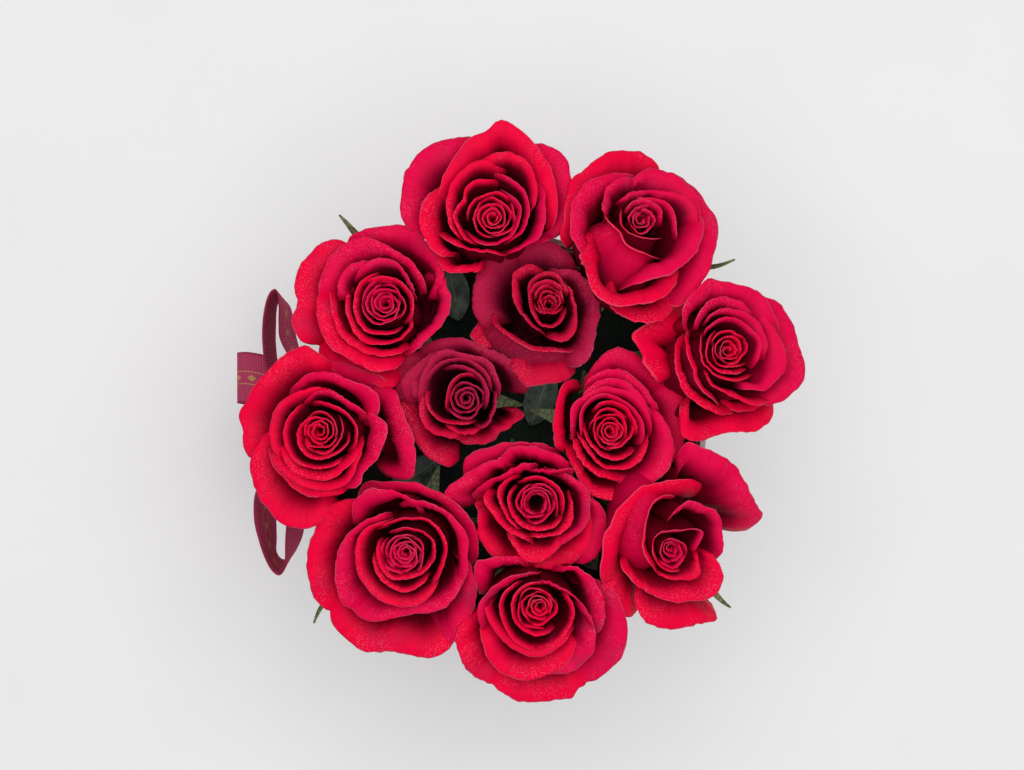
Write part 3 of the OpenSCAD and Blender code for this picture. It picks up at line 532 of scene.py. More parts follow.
# Each flower: where it stands (as the CAD has it) and where its heart shows; the petals wound round its
# heart (how many, radius of the first and the last, first one's direction, hand, how far the last one's
# ring stands beside the heart); the radius of its cup; its petals' finish; then its open petals, the
# lowest first, each as its form and the line of its rim, (direction, reach from the heart) from end to end
ROSES = [
    ((0.925, 94, 13.3, 93, 8.5, (-6.3, 92.4)), (12, 2.1, 10.4, 40, 1, (0.0, 1.0)), 21, bright_petal, [
        ("low", (197, 31), (188, 36.5), (180, 39.5), (166, 40.5), (151, 42.8), (136, 42), (118, 39),
            (104, 36)),
        ("low", (68, 33), (58, 37.5), (46, 40.3), (33, 39), (22, 36.8), (5, 33.5), (-12, 29),
            (-24, 25)),
        ("dull", (20, 36), (6, 35), (-8, 32), (-22, 26), (-34, 19)),
        ("low", (208, 27), (218, 29.8), (228, 30.5), (242, 26.3), (262, 22)),
        ("mid", (146, 25), (156, 28.5), (165, 30.5), (182, 31.7), (200, 30.5), (215, 28), (226, 23)),
        ("mid", (-16, 24.5), (-6, 26.5), (13, 29), (27, 30.5), (45, 33), (60, 36.5), (74, 39.8),
            (86, 42), (94, 37.6), (105, 36.3), (119, 31.7), (137, 28), (156, 25.7), (172, 22.5)),
        ("in", (6, 16), (16, 18.5), (28, 21.5), (44, 25), (57, 28), (73, 29.4), (84, 28.7), (96, 26.2),
            (108, 23)),
        ("in", (42, 22), (33, 24.7), (14, 23.4), (-4, 22.4), (-22, 21.6), (-40, 18.4), (-58, 17),
            (-74, 16.6)),
        ("in", (70, 22.5), (88, 24.5), (104, 25.2), (127, 24.6), (149, 22.4), (174, 20), (204, 17.8),
            (224, 15.5)),
        ("in", (192, 24.2), (200, 23.3), (208, 21.6), (224, 18.3), (244, 16), (262, 15), (279, 16),
            (292, 17)),
        ("ring", (98, 19.2), (76, 19), (56, 18.4), (38, 17.8), (22, 16.7), (2, 15.4), (-20, 14.2),
            (-44, 12.8), (-72, 12.2)),
        ("ring", (76, 15.3), (98, 17), (115, 18), (133, 17.5), (147, 15.4), (160, 16), (174, 17),
            (190, 16.4), (220, 15), (246, 13.2)),
        ("ring", (80, 12.6), (60, 12.4), (44, 12.6), (24, 12.8), (2, 12), (-26, 11.4), (-60, 11.2),
            (-92, 11.8), (-130, 12.4), (-160, 13.6)),
    ]),
    ((0.935, 58, 28, 58, 13.0, (57.0, 92.4)), (8, 1.9, 6.4, 10, -1, (1.0, -0.8)), 17, bright_petal, [
        ("low", (66, 21), (73, 24.5), (84, 27.6), (91, 29), (103, 29.6), (115, 31.2), (128, 31.4),
            (140, 32.3), (152, 34), (166, 33), (182, 33), (194, 36), (203, 34)),
        ("low", (66, 20), (57, 23.6), (48, 24.6), (34, 26), (20, 28), (7, 31), (-3, 33.2), (-15, 34.6),
            (-30, 35.5), (-42, 37.6), (-56, 40), (-68, 41), (-76, 36)),
        ("dull", (240, 30), (249, 38), (262, 44), (276, 45), (288, 42), (296, 34)),
        ("mid", (216, 30), (205, 30.5), (192, 31), (180, 30.5), (167, 29.9), (156, 29), (147, 28.2),
            (136, 25.5), (125, 23.6), (110, 20.5), (96, 18.6)),
        ("low", (194, 24), (201, 28), (206, 29), (216, 31.5), (226, 31)),
        ("mid", (214, 28), (224, 33), (232, 36), (241, 38), (252, 38.9), (262, 38), (276, 36.3),
            (288, 34.6), (298, 31.8), (307, 28)),
        ("mid", (122, 14), (110, 16.5), (97, 18.6), (84, 21), (71, 22.6), (60, 23.2), (48, 24.2),
            (27, 25), (8, 26), (-7, 25.6)),
        ("mid", (10, 22), (2, 25.5), (-6, 27), (-18, 27.6), (-29, 27.8), (-45, 27.5), (-60, 27.7),
            (-74, 27), (-88, 27.3), (-100, 29.6), (-108, 32.6)),
        ("in", (180, 14), (170, 16.5), (160, 17.6), (150, 18.4), (141, 19.6), (132, 19.6), (121, 19.2),
            (108, 17.9), (98, 15.5)),
        ("in", (156, 12.5), (140, 12), (122, 11.7), (100, 11.8), (80, 12), (60, 13.4), (46, 16.2),
            (33, 19.2), (22, 22), (13, 23.8), (0, 24), (-16, 22)),
        ("urn", (166, 17), (178, 15.5), (198, 12.3), (216, 11.3), (241, 13.2), (262, 14.2), (276, 15.2),
            (287, 17.4), (297, 20)),
        ("bud", (120, 9.8), (96, 9), (70, 9.4), (48, 11), (28, 13.4), (8, 14.6), (-12, 15.6),
            (-25, 17.2), (-36, 19)),
        ("bud", (150, 9.6), (176, 9), (200, 8.8), (226, 8.2), (252, 8), (280, 8.6), (300, 10.4),
            (318, 12.8)),
        ("bud", (168, 8), (140, 7.8), (110, 8), (80, 8.2), (52, 8.6), (24, 9.6), (2, 9.2), (-24, 9.4)),
    ]),
    ((0.855, 22, 27, 21, 12.5, (94.4, 35.5)), (10, 1.9, 8.6, 80, 1, (1.0, 1.4)), 20, bright_petal, [
        ("low", (68, 26), (58, 28), (43, 30), (28, 30.3), (8, 30.5), (-6, 32), (-18, 34.5), (-31, 33.6),
            (-41, 32.6), (-54, 28.5), (-64, 26)),
        ("flat", (130, 27), (142, 30.5), (153, 33.4), (164, 38), (170, 41.4), (178, 38.4), (190, 35.4),
            (206, 33)),
        ("dull", (226, 28), (235, 36), (244, 42), (256, 39.2), (268, 35.4), (282, 35.6), (293, 36.5),
            (303, 34.6), (311, 29)),
        ("dull", (256, 20), (270, 24.6), (286, 27), (304, 27.4), (320, 26.4), (336, 22)),
        ("low", (155, 19), (163, 21.2), (176, 23), (189, 23.8), (200, 24), (219, 24.9), (238, 26.5),
            (250, 26.5), (264, 28), (276, 27)),
        ("mid", (158, 20), (148, 23.6), (138, 26.7), (128, 28.4), (116, 30.2), (105, 32.5), (96, 30),
            (84, 29), (72, 28.4), (58, 27.8), (42, 25.6), (28, 24), (15, 22.2)),
        ("mid", (62, 18.5), (50, 20), (35, 21.2), (17, 22.6), (-4, 24.9), (-19, 25.9), (-31, 24.6),
            (-47, 23), (-58, 20), (-69, 17.8), (-84, 15)),
        ("mid", (150, 20), (163, 19), (185, 17.9), (200, 17.4), (212, 17.7), (226, 18.8), (241, 20.6),
            (254, 23), (263, 24.2)),
        ("in", (212, 13), (222, 13.8), (234, 15.4), (248, 16.4), (263, 17.8), (273, 19.6), (281, 21.3),
            (293, 25.2), (303, 27.4), (311, 28.5)),
        ("in", (150, 17), (136, 19.4), (124, 21), (112, 23.2), (100, 23.6), (88, 22.9), (76, 22),
            (64, 19.8), (52, 18.2)),
        ("in", (140, 15), (128, 16.4), (114, 17.6), (98, 18.4), (80, 18.4), (62, 18), (44, 17.6),
            (24, 17.2), (4, 16.6), (-20, 16)),
        ("ring", (158, 12), (138, 13.2), (116, 14), (94, 14.5), (72, 14.4), (50, 14), (30, 14.4),
            (15, 14.7), (0, 14), (-20, 13.2), (-42, 12.2)),
        ("ring", (140, 14.4), (162, 12.6), (184, 12.2), (206, 12), (228, 11.8), (250, 12), (274, 12.8),
            (296, 13.8), (316, 14.4)),
        ("ring", (118, 10.6), (142, 10), (166, 9.8), (190, 9.8), (214, 9.8), (240, 9.8), (266, 10),
            (292, 10.6), (318, 11)),
    ]),
    ((0.733, -35, 22.9, -35, 12.0, (69.9, -48.9)), (9, 1.6, 6.6, -60, -1, (0.6, -1.8)), 17, bright_petal, [
        ("low", (87, 36), (81, 45), (70, 45), (61, 44.8), (52, 44.6), (41, 42.6), (29, 41.6), (18, 41),
            (13, 33)),
        ("low", (227, 21), (235, 27), (242, 30), (249, 33), (255, 34.3), (269, 34.9), (286, 34.8),
            (297, 35.6), (303, 36), (306, 29)),
        ("dull", (196, 29), (208, 33), (221, 34), (233, 35), (240, 34.4), (243, 27)),
        ("low", (60, 30), (67, 31), (76, 30.7), (90, 29), (103, 28.5), (117, 29.2), (128, 28.4),
            (140, 27.8), (155, 28.2), (170, 28.2), (182, 29), (192, 30.5), (203, 32.6), (210, 32),
            (216, 27)),
        ("mid", (188, 21), (196, 23), (204, 23), (214, 22.2), (227, 21.7), (240, 21.5), (253, 21.9),
            (265, 22.8), (276, 23.5), (287, 24), (296, 25.1), (306, 27), (314, 28), (324, 27.4),
            (332, 25.6), (340, 22.3), (352, 17.5), (366, 14.5)),
        ("in", (102, 11.5), (92, 13.6), (80, 17.6), (70, 21.3), (60, 22.5), (51, 23), (40, 25),
            (31, 24.8), (23, 23.9), (10, 22.9), (-4, 22), (-16, 19.8)),
        ("urn", (84, 22), (92, 23), (99, 22.9), (114, 20.3), (128, 17), (141, 14.5), (156, 13),
            (171, 12.5), (192, 11.8), (216, 11.4), (234, 12), (250, 13)),
        ("in", (232, 11.8), (248, 12.8), (264, 13.3), (280, 14), (296, 15.4), (308, 16.6), (321, 16.3),
            (332, 14), (342, 12.4), (358, 10.6)),
        ("bud", (140, 8), (118, 7.6), (96, 7.4), (74, 8), (58, 9), (46, 11.4), (35, 14), (26, 15.4),
            (16, 13.6), (0, 11), (-20, 9.6)),
        ("bud", (96, 8.4), (124, 8.2), (152, 8.2), (180, 8), (208, 8.2), (236, 9), (262, 10),
            (288, 10.6), (312, 10.4)),
    ]),
    ((0.718, -80, 15, -80, 8.0, (13.7, -74.0)), (12, 2.0, 9.2, 150, 1, (-1.0, -0.6)), 19, bright_petal, [
        ("low", (34, 21), (28, 25), (22, 28.4), (10, 33.4), (3, 35), (-5, 36.4), (-18, 39.6), (-27, 41),
            (-34, 41.7), (-48, 39.7), (-58, 38.7), (-68, 34)),
        ("low", (180, 26), (188, 32), (196, 37), (202, 39), (210, 40.2), (222, 41), (232, 40.4),
            (239, 38.2), (247, 33)),
        ("low", (226, 32), (232, 36.5), (239, 38.8), (247, 40.8), (259, 41.8), (271, 41), (281, 41.2),
            (289, 42), (294, 40), (301, 38.7), (310, 33)),
        ("low", (168, 27), (160, 29), (153, 31.4), (145, 33.3), (137, 30), (126, 26.5), (114, 23.4),
            (100, 20)),
        ("mid", (72, 18.5), (58, 20.8), (47, 23.3), (37, 24.6), (28, 25.6), (18, 26.6), (1, 28),
            (-12, 28.2), (-21, 27.6), (-30, 26)),
        ("mid", (0, 20.5), (-13, 23), (-24, 26), (-33, 28.6), (-41, 30.4), (-57, 30.8), (-69, 30.7),
            (-84, 29.3), (-96, 28)),
        ("mid", (188, 24), (198, 26.6), (206, 28.4), (222, 30.8), (231, 32.2), (240, 33), (256, 32.5),
            (274, 30), (293, 27.3), (310, 23.4), (326, 20)),
        ("in", (208, 26.6), (196, 27.2), (184, 26.8), (176, 25.7), (167, 23.8), (159, 22), (145, 19.4),
            (128, 17.2), (108, 15.4), (86, 14.6)),
        ("in", (98, 11.4), (78, 11.4), (58, 11.6), (42, 12.6), (24, 14.6), (7, 17.4), (-4, 20),
            (-13, 22.5), (-22, 25), (-30, 26.4)),
        ("in", (160, 21), (172, 23.2), (185, 23.5), (200, 22.6), (218, 21.6), (236, 21.4), (256, 21.6),
            (276, 21), (296, 19.6), (316, 18), (334, 17)),
        ("ring", (120, 13.2), (140, 15), (158, 16.6), (176, 17.3), (196, 17.3), (218, 17.8),
            (242, 18.6), (262, 18.8), (282, 18)),
        ("ring", (246, 18.6), (270, 18.6), (292, 17.6), (314, 16.4), (334, 15.8), (354, 15),
            (376, 13.4), (400, 12)),
        ("ring", (70, 10.8), (98, 10.8), (126, 11.4), (154, 12.2), (182, 12.4), (210, 12.6),
            (238, 12.8), (264, 12.8), (288, 12), (312, 10.6)),
    ]),
    ((0.632, 228, 13, 228, 8.0, (-43.9, -51.0)), (14, 2.0, 9.6, 200, -1, (-0.6, -0.6)), 21, bright_petal, [
        ("dull", (134, 30), (126, 33.6), (118, 34.7), (106, 32.4), (90, 30.6), (76, 30), (58, 29.8),
            (44, 30.6), (31, 31.2), (11, 32.2), (-4, 31), (-14, 28)),
        ("low", (122, 27), (132, 31.2), (139, 35), (146, 37.6), (159, 39.6), (172, 41), (187, 42.7),
            (196, 43.4), (204, 44.2), (211, 43), (217, 41.2), (226, 34)),
        ("low", (210, 34), (218, 41.5), (228, 44), (239, 45.2), (247, 46.1), (254, 44), (262, 42.8),
            (270, 43.2), (279, 45.6), (287, 46.7), (293, 45.4), (299, 43), (306, 38)),
        ("low", (0, 24), (-8, 27), (-16, 30), (-25, 33.7), (-33, 36.4), (-40, 38.2), (-52, 41),
            (-60, 43), (-67, 43.6), (-76, 38)),
        ("mid", (152, 25), (144, 28), (137, 30.6), (130, 31.5), (118, 31.2), (106, 28), (97, 26),
            (88, 24.5), (76, 22), (62, 19)),
        ("mid", (98, 21), (81, 23), (70, 24), (60, 24.6), (48, 25), (35, 25.7), (24, 26.8), (13, 27.7),
            (4, 27), (-5, 26.8), (-16, 27.6), (-26, 28), (-38, 27)),
        ("mid", (-12, 24), (-24, 27), (-36, 28.6), (-48, 28.8), (-60, 28.7), (-72, 27.4), (-85, 26.8),
            (-100, 28.4), (-115, 32.3), (-122, 33.4), (-132, 33.4), (-144, 31)),
        ("mid", (238, 30), (230, 33), (222, 34.2), (214, 33.8), (206, 32.6), (190, 30.6), (176, 28.5),
            (159, 25), (143, 22.4), (125, 20), (106, 18.4)),
        ("in", (104, 15.4), (126, 16.6), (148, 19.8), (164, 21.2), (176, 21.7), (199, 21.8), (214, 22),
            (228, 22.4), (254, 23.2), (272, 23.4), (294, 22.3), (312, 19.6), (330, 17.6)),
        ("in", (-64, 19.6), (-44, 18.2), (-25, 17.7), (-7, 17.8), (10, 18.2), (25, 18.3), (40, 18.2),
            (54, 17.6), (70, 16.2), (87, 15.2), (108, 15), (128, 15.4), (146, 17)),
        ("ring", (176, 13.4), (196, 14.4), (214, 15), (232, 15.8), (250, 16.6), (268, 16.8),
            (286, 16.2), (304, 15), (324, 13.8)),
        ("ring", (144, 12.2), (166, 12.6), (190, 12.4), (214, 12.4), (238, 12.8), (262, 11.8),
            (286, 11.4), (312, 11.6), (336, 12), (360, 12)),
        ("ring", (-40, 11.6), (-16, 12.8), (6, 13.4), (26, 13.2), (46, 12.2), (66, 11.2), (88, 11),
            (110, 11), (132, 11.2)),
    ]),
    ((0.785, 179, 14.1, 180, 8.0, (-81.0, 1.2)), (12, 2.1, 9.6, 250, 1, (0.6, -0.4)), 19, bright_petal, [
        ("dull", (104, 26), (90, 30), (74, 31), (60, 31.6), (48, 33.6), (38, 36.4), (29, 36)),
        ("dull", (44, 28), (36, 33), (28, 36.8), (12, 37), (2, 39), (-7, 41), (-14, 42.6), (-20, 43.8),
            (-28, 43.6), (-34, 35)),
        ("low", (74, 27), (84, 31), (92, 34), (99, 37.2), (109, 36.9), (120, 35.3), (138, 33.7),
            (157, 34), (169, 35), (177, 33.2), (191, 33.4), (201, 32), (210, 28)),
        ("low", (172, 20), (182, 23.4), (191, 26.4), (201, 31), (214, 35), (227, 38.4), (238, 40),
            (247, 42.6), (257, 43), (266, 41.4), (276, 36), (286, 31)),
        ("mid", (28, 19.5), (15, 25.6), (9, 28), (2, 29.4), (-10, 29.1), (-18, 28.4), (-26, 27.8),
            (-43, 26.5), (-50, 28.6), (-57, 29), (-66, 26), (-76, 24)),
        ("mid", (130, 19.5), (117, 22.7), (105, 24), (96, 25), (88, 25.3), (74, 26), (64, 25.4),
            (55, 26), (43, 28.5), (31, 29.6), (20, 28.4), (13, 25), (4, 21)),
        ("mid", (196, 22), (213, 24), (228, 25), (242, 26), (258, 28), (272, 28.8), (288, 28.4),
            (302, 27)),
        ("in", (200, 21), (213, 22.6), (227, 23.4), (248, 24.4), (268, 25), (284, 26), (297, 26),
            (308, 24), (320, 21.6), (334, 20.6), (350, 20)),
        ("in", (70, 18.6), (84, 18.8), (97, 18.9), (112, 19.2), (128, 19.7), (142, 20.6), (156, 21),
            (180, 21), (200, 21.2), (214, 20.8), (228, 20)),
        ("in", (188, 15.8), (206, 17.8), (226, 19.6), (248, 20.9), (272, 21.3), (285, 21), (298, 20.4),
            (313, 20), (327, 19.9), (342, 19.8), (356, 19)),
        ("in", (124, 13.6), (112, 14.4), (98, 16.4), (84, 18), (72, 18.4), (60, 18.2), (47, 18.1),
            (35, 19.5), (22, 21.3), (10, 20.6)),
        ("ring", (110, 13.4), (134, 13.8), (158, 14.2), (182, 15.2), (206, 16), (230, 16.4),
            (254, 16.4), (278, 16.2), (302, 16.4), (326, 16.8)),
        ("ring", (-40, 16), (-20, 17), (-4, 17), (12, 16), (28, 14.8), (46, 13.4), (66, 12.8),
            (88, 12.8), (108, 12.6)),
        ("ring", (150, 8.8), (172, 9), (196, 9.8), (220, 11), (244, 12), (268, 12.3), (292, 12.4),
            (316, 13), (340, 13.6), (364, 13)),
    ]),
    ((0.756, 133, 12, 135, 7.5, (-52.4, 56.0)), (14, 2.0, 10.0, 100, -1, (-0.6, 0.0)), 20, bright_petal, [
        ("dull", (208, 31), (217, 35.6), (226, 37), (237, 36), (248, 34.6), (257, 34.4), (265, 35.4),
            (276, 35.8), (286, 31)),
        ("low", (116, 26), (122, 30), (128, 35), (134, 37), (143, 38.6), (155, 40.4), (163, 40),
            (171, 39), (182, 38.2), (190, 41), (197, 41), (205, 39), (213, 33)),
        ("low", (38, 22), (30, 26.6), (22, 27.6), (14, 27.4), (7, 28.2), (-4, 27.6), (-11, 27),
            (-20, 26), (-28, 24.8), (-42, 24), (-59, 24), (-76, 23)),
        ("low", (128, 26), (120, 31.8), (112, 33), (102, 33), (89, 33.5), (75, 34.3), (63, 32.9),
            (54, 31.4), (45, 30.4), (37, 29.6), (30, 28.8), (22, 26.8), (14, 24.6), (2, 22)),
        ("mid", (160, 26.6), (170, 28.6), (184, 29.6), (198, 29.9), (218, 30), (235, 28.9), (252, 29.2),
            (266, 29.5), (279, 28.4), (292, 24.6)),
        ("mid", (184, 27), (168, 29.8), (159, 30.4), (151, 30.8), (142, 31.2), (135, 31.1), (122, 31.2),
            (110, 30), (94, 25.8), (77, 22.8), (65, 21.4), (53, 20.4), (28, 19.4), (10, 17.8)),
        ("mid", (158, 21.6), (166, 24.4), (176, 24), (186, 23.6), (198, 23.4), (212, 23.4), (235, 23.6),
            (256, 23), (270, 22.6), (283, 22.4), (302, 22)),
        ("in", (178, 19.6), (168, 20.8), (160, 21.8), (150, 22.6), (141, 22.7), (131, 22), (122, 21),
            (108, 19)),
        ("in", (152, 16), (136, 17.6), (120, 18.6), (108, 19.2), (96, 19.6), (86, 19.2), (78, 18.4),
            (66, 16.8), (52, 15.2), (38, 14.2), (24, 13.5), (4, 13.3)),
        ("in", (146, 15.4), (162, 16.8), (178, 17.4), (194, 17.5), (209, 17.8), (225, 18.8),
            (242, 19.4), (254, 18.8), (268, 18), (287, 17.3), (302, 16.6), (315, 15.8), (326, 14.2),
            (338, 12.6)),
        ("ring", (94, 13.8), (118, 13.8), (142, 14), (166, 13.8), (190, 14), (214, 14.6), (238, 14.8),
            (262, 13.8), (286, 13.4), (310, 13)),
        ("ring", (-50, 12.6), (-26, 12.6), (-2, 12.4), (22, 11.8), (46, 11.4), (70, 11.4), (96, 11.6),
            (122, 12.2), (148, 12.4)),
    ]),
    ((0.573, 73, 9, 75, 5.0, (17.6, 55.2)), (8, 2.2, 5.6, 20, 1, (0.4, 1.6)), 14, shaded_petal, [
        ("dull", (190, 28), (196, 33), (202, 36), (210, 34.6), (218, 31), (226, 26)),
        ("low", (206, 25), (198, 29.4), (188, 31.6), (178, 33), (168, 33.4), (156, 33.5), (144, 33.4),
            (134, 31.6), (124, 29.4), (114, 26)),
        ("low", (138, 28), (126, 29.4), (112, 28.8), (100, 28.6), (92, 28), (84, 26.6), (76, 25.2),
            (67, 23.6), (58, 21.4), (46, 19)),
        ("low", (232, 28), (241, 32), (249, 34.4), (256, 36), (263, 34.8), (271, 33.8), (283, 32.8),
            (290, 31), (297, 26)),
        ("mid", (26, 17), (16, 19.6), (6, 21.2), (-5, 22), (-16, 22.5), (-28, 23), (-36, 24.6),
            (-43, 26.3), (-50, 28), (-58, 29), (-69, 28.6), (-78, 25)),
        ("mid", (94, 14.6), (82, 15.8), (70, 16.8), (60, 17.8), (52, 18.6), (42, 19.2), (30, 19.7),
            (18, 20.2), (6, 20.4), (-8, 19)),
        ("urn", (186, 23), (193, 25), (199, 25), (208, 23.4), (221, 21.7), (232, 21), (245, 20.7),
            (260, 20.2), (276, 20.3), (287, 21.4), (297, 22.5), (305, 20.6)),
        ("in", (94, 14.4), (103, 16.4), (112, 18.6), (120, 19.6), (129, 20.4), (137, 20.5), (146, 19),
            (156, 17.4), (168, 15.9), (179, 14.6), (190, 13.6), (204, 12.4), (219, 11.8), (238, 11.7),
            (256, 12.4), (268, 14.6)),
        ("in", (262, 13.6), (272, 14.9), (282, 16), (292, 16.8), (301, 17.2), (312, 16.4), (326, 14.4),
            (340, 12.7), (352, 11.8), (370, 11.3), (390, 11.4), (408, 11.8), (424, 13)),
        ("ring", (20, 9.4), (40, 10.2), (58, 11.6), (74, 13.4), (86, 14.2), (98, 14.3), (112, 13.8),
            (126, 13.2), (138, 12), (148, 10.6), (162, 9.6)),
        ("ring", (30, 8.4), (50, 9.2), (70, 10.2), (90, 10.8), (110, 10.9), (130, 10.6), (150, 9.8),
            (172, 8.6), (194, 8)),
        ("ring", (150, 9), (176, 8.4), (204, 8.2), (232, 8.8), (258, 9.6), (284, 9.8), (308, 9),
            (332, 8), (354, 7.8)),
        ("bud", (164, 7), (186, 6.4), (208, 5.4), (232, 4.6), (262, 3.7), (290, 3.6), (312, 4.4),
            (336, 5.4), (358, 6.6)),
        ("bud", (0, 6.2), (28, 7), (56, 8), (84, 8.6), (112, 8.6), (140, 7.8), (168, 6.6)),
    ]),
    ((0.242, 140, 4, 140, 4.0, (-17.9, 14.9)), (9, 2.1, 8.4, 300, -1, (-0.2, 0.0)), 16, shaded_petal, [
        ("low", (172, 26), (185, 28.4), (194, 28.4), (203, 28), (212, 28), (221, 28.4), (229, 29.4),
            (238, 30), (252, 30), (259, 29.2), (265, 25)),
        ("low", (188, 27), (178, 29.6), (167, 31.4), (160, 31.6), (153, 31.7), (144, 32), (138, 30.6),
            (130, 26)),
        ("low", (240, 14), (249, 16.6), (256, 18), (268, 19.2), (282, 20.2), (297, 21), (307, 21),
            (316, 21), (325, 22), (333, 23), (341, 25.6), (346, 26), (351, 21)),
        ("low", (144, 26), (134, 29), (127, 29.4), (120, 29), (109, 27.5), (98, 26), (88, 25.2),
            (77, 24.2), (67, 23.8), (58, 24.2), (50, 25), (40, 26), (31, 26.5), (20, 27.4), (10, 28),
            (4, 24)),
        ("mid", (188, 24), (176, 27), (166, 28.6), (158, 28), (149, 26.8), (136, 25), (120, 23.8),
            (102, 21.6)),
        ("mid", (184, 20.6), (174, 23), (164, 24.6), (154, 24.4), (144, 24), (134, 24)),
        ("in", (198, 18.8), (186, 20), (174, 20.4), (162, 20.8), (150, 21.3), (140, 22.2), (131, 23.2),
            (120, 23.8), (110, 22.7), (98, 20.2), (87, 19.3), (74, 19.2), (63, 19), (52, 18.6),
            (42, 17.6), (30, 16.8), (18, 16), (6, 14.6), (-6, 13)),
        ("in", (166, 18.6), (178, 19.6), (188, 20.1), (200, 21), (210, 21.5), (220, 20.9), (228, 20.2),
            (239, 19), (249, 18), (258, 17), (270, 16)),
        ("in", (20, 14), (4, 13.4), (-10, 13.2), (-22, 13.3), (-33, 13.6), (-42, 14.4), (-52, 14.8),
            (-62, 14.3), (-76, 12.6)),
        ("in", (226, 13.6), (240, 14.4), (254, 15), (268, 15.2), (282, 15.4), (292, 14.6), (304, 12.4)),
        ("ring", (172, 18.2), (154, 19), (138, 19.4), (124, 19.2), (108, 18.4), (92, 17.4), (76, 16.2),
            (60, 15), (44, 14), (28, 12.6), (12, 11.6)),
        ("ring", (158, 17.4), (172, 17.2), (186, 17), (202, 16.2), (218, 14.8), (234, 13), (250, 11.8),
            (266, 11.2), (282, 10.8), (298, 10.4)),
        ("ring", (130, 16.6), (112, 15.6), (94, 14.4), (76, 13.2), (58, 12.2), (40, 11.2), (22, 10.4),
            (4, 9.8), (-14, 9.6), (-32, 9.8)),
        ("bud", (40, 10.2), (66, 11), (92, 11.2), (118, 10.4), (144, 9.2), (170, 8.6), (196, 9.2),
            (222, 10)),
    ]),
    ((0.405, 4, 9, 0, 5.5, (44.0, 1.3)), (12, 2.0, 9.4, 30, 1, (0.4, 0.2)), 19, bright_petal, [
        ("low", (48, 27), (40, 30.6), (33, 32.4), (27, 33.6), (21, 34.7), (11, 34), (3, 33), (-4, 32.4),
            (-11, 32), (-18, 31), (-26, 29.6), (-34, 28.5), (-46, 25)),
        ("low", (122, 22), (114, 25.6), (108, 27.6), (100, 31), (92, 34), (86, 35.6), (80, 35.9),
            (74, 34.8), (68, 33.6), (60, 32.6), (53, 32.2), (44, 31.4), (34, 30)),
        ("low", (122, 25), (129, 28), (135, 29.2), (144, 27.8), (154, 26), (165, 25), (176, 24.4),
            (186, 24.2), (197, 24.2), (206, 22)),
        ("low", (196, 19), (206, 20.6), (216, 21.6), (226, 22.8), (236, 25), (246, 27.2), (255, 29.1),
            (263, 29.6), (272, 29.8), (284, 29), (296, 28.2), (306, 27), (314, 24)),
        ("mid", (38, 19), (28, 20.8), (17, 22.8), (4, 25.2), (-4, 26.4), (-10, 27.4), (-16, 28.4),
            (-23, 29), (-30, 29.5), (-37, 29.7), (-44, 29.3), (-52, 28.4), (-59, 27.6), (-67, 25.4),
            (-75, 23.5), (-90, 20.8)),
        ("mid", (128, 19.4), (117, 22.8), (106, 25), (97, 26), (88, 26.3), (80, 26.4), (73, 25.9),
            (63, 24.8), (53, 24), (42, 23), (30, 22.5), (16, 22)),
        ("mid", (184, 17.6), (200, 17), (214, 17.4), (228, 18.2), (241, 19), (253, 19.8), (266, 20.5),
            (278, 21.4), (290, 22)),
        ("in", (146, 16.6), (132, 18.8), (118, 20.8), (106, 21.9), (95, 22.4), (85, 22.7), (76, 22.5),
            (64, 21.4), (52, 20.2), (40, 19.6), (26, 19.4), (12, 19.3)),
        ("in", (198, 16.6), (186, 17), (172, 17.2), (158, 18.4), (146, 19.4), (134, 19), (122, 18.6),
            (108, 18.8), (94, 18.8), (80, 18.6), (64, 18.4), (46, 18.2), (26, 18.2), (6, 18),
            (-10, 17.2)),
        ("in", (176, 14.4), (189, 14.3), (204, 13.6), (226, 13.2), (240, 14.4), (252, 15.6),
            (264, 16.4), (278, 16.8), (292, 17.8), (304, 18.2), (318, 18), (332, 17.4), (345, 16.8),
            (360, 16.2)),
        ("ring", (204, 12.6), (186, 13), (168, 13.8), (150, 15), (132, 16), (114, 16.4), (96, 16),
            (78, 15), (60, 14.2), (42, 14), (22, 14.4), (2, 14.6), (-18, 14.4), (-38, 14)),
        ("ring", (160, 12), (184, 11.4), (208, 10.8), (232, 10.8), (256, 11.8), (280, 12.8),
            (304, 13.4), (328, 13)),
        ("ring", (-16, 11.8), (6, 11.6), (28, 11.6), (50, 12), (72, 12.6), (94, 12.9), (116, 12.6),
            (138, 11.6)),
    ]),
    ((0.316, -66, 5, -70, 6.0, (12.2, -29.5)), (9, 4.6, 9.2, 60, -1, (0.2, -0.6)), 18, bright_petal, [
        ("dull", (166, 30), (157, 34), (148, 35.6), (141, 34), (134, 32), (122, 29.6), (108, 27.2),
            (92, 26), (76, 25), (62, 24)),
        ("low", (20, 20), (10, 23.4), (3, 25.6), (-5, 28.8), (-16, 31.4), (-22, 32.6), (-28, 33.4),
            (-35, 34.2), (-42, 34.6), (-48, 34), (-54, 33), (-62, 29)),
        ("low", (185, 34), (178, 38.4), (174, 39.2), (167, 36.5), (160, 33.4), (153, 31), (147, 28.8),
            (141, 27.2), (130, 25), (118, 22)),
        ("low", (138, 22), (130, 24.2), (124, 25.2), (117, 25.9), (110, 25.4), (104, 24.6), (96, 24),
            (88, 23.5), (77, 23), (66, 22.6), (56, 22.4), (48, 21.8), (38, 19)),
        ("low", (174, 24), (180, 26.4), (188, 25.6), (196, 26.6), (204, 27.6), (213, 28.9), (220, 29),
            (227, 29.4), (234, 30.2), (241, 30.4), (248, 29), (255, 25.6), (264, 23.6)),
        ("low", (258, 26), (268, 28.2), (280, 29), (290, 30), (300, 30), (312, 29.6), (324, 28.5),
            (334, 26.8), (343, 24.6), (354, 21)),
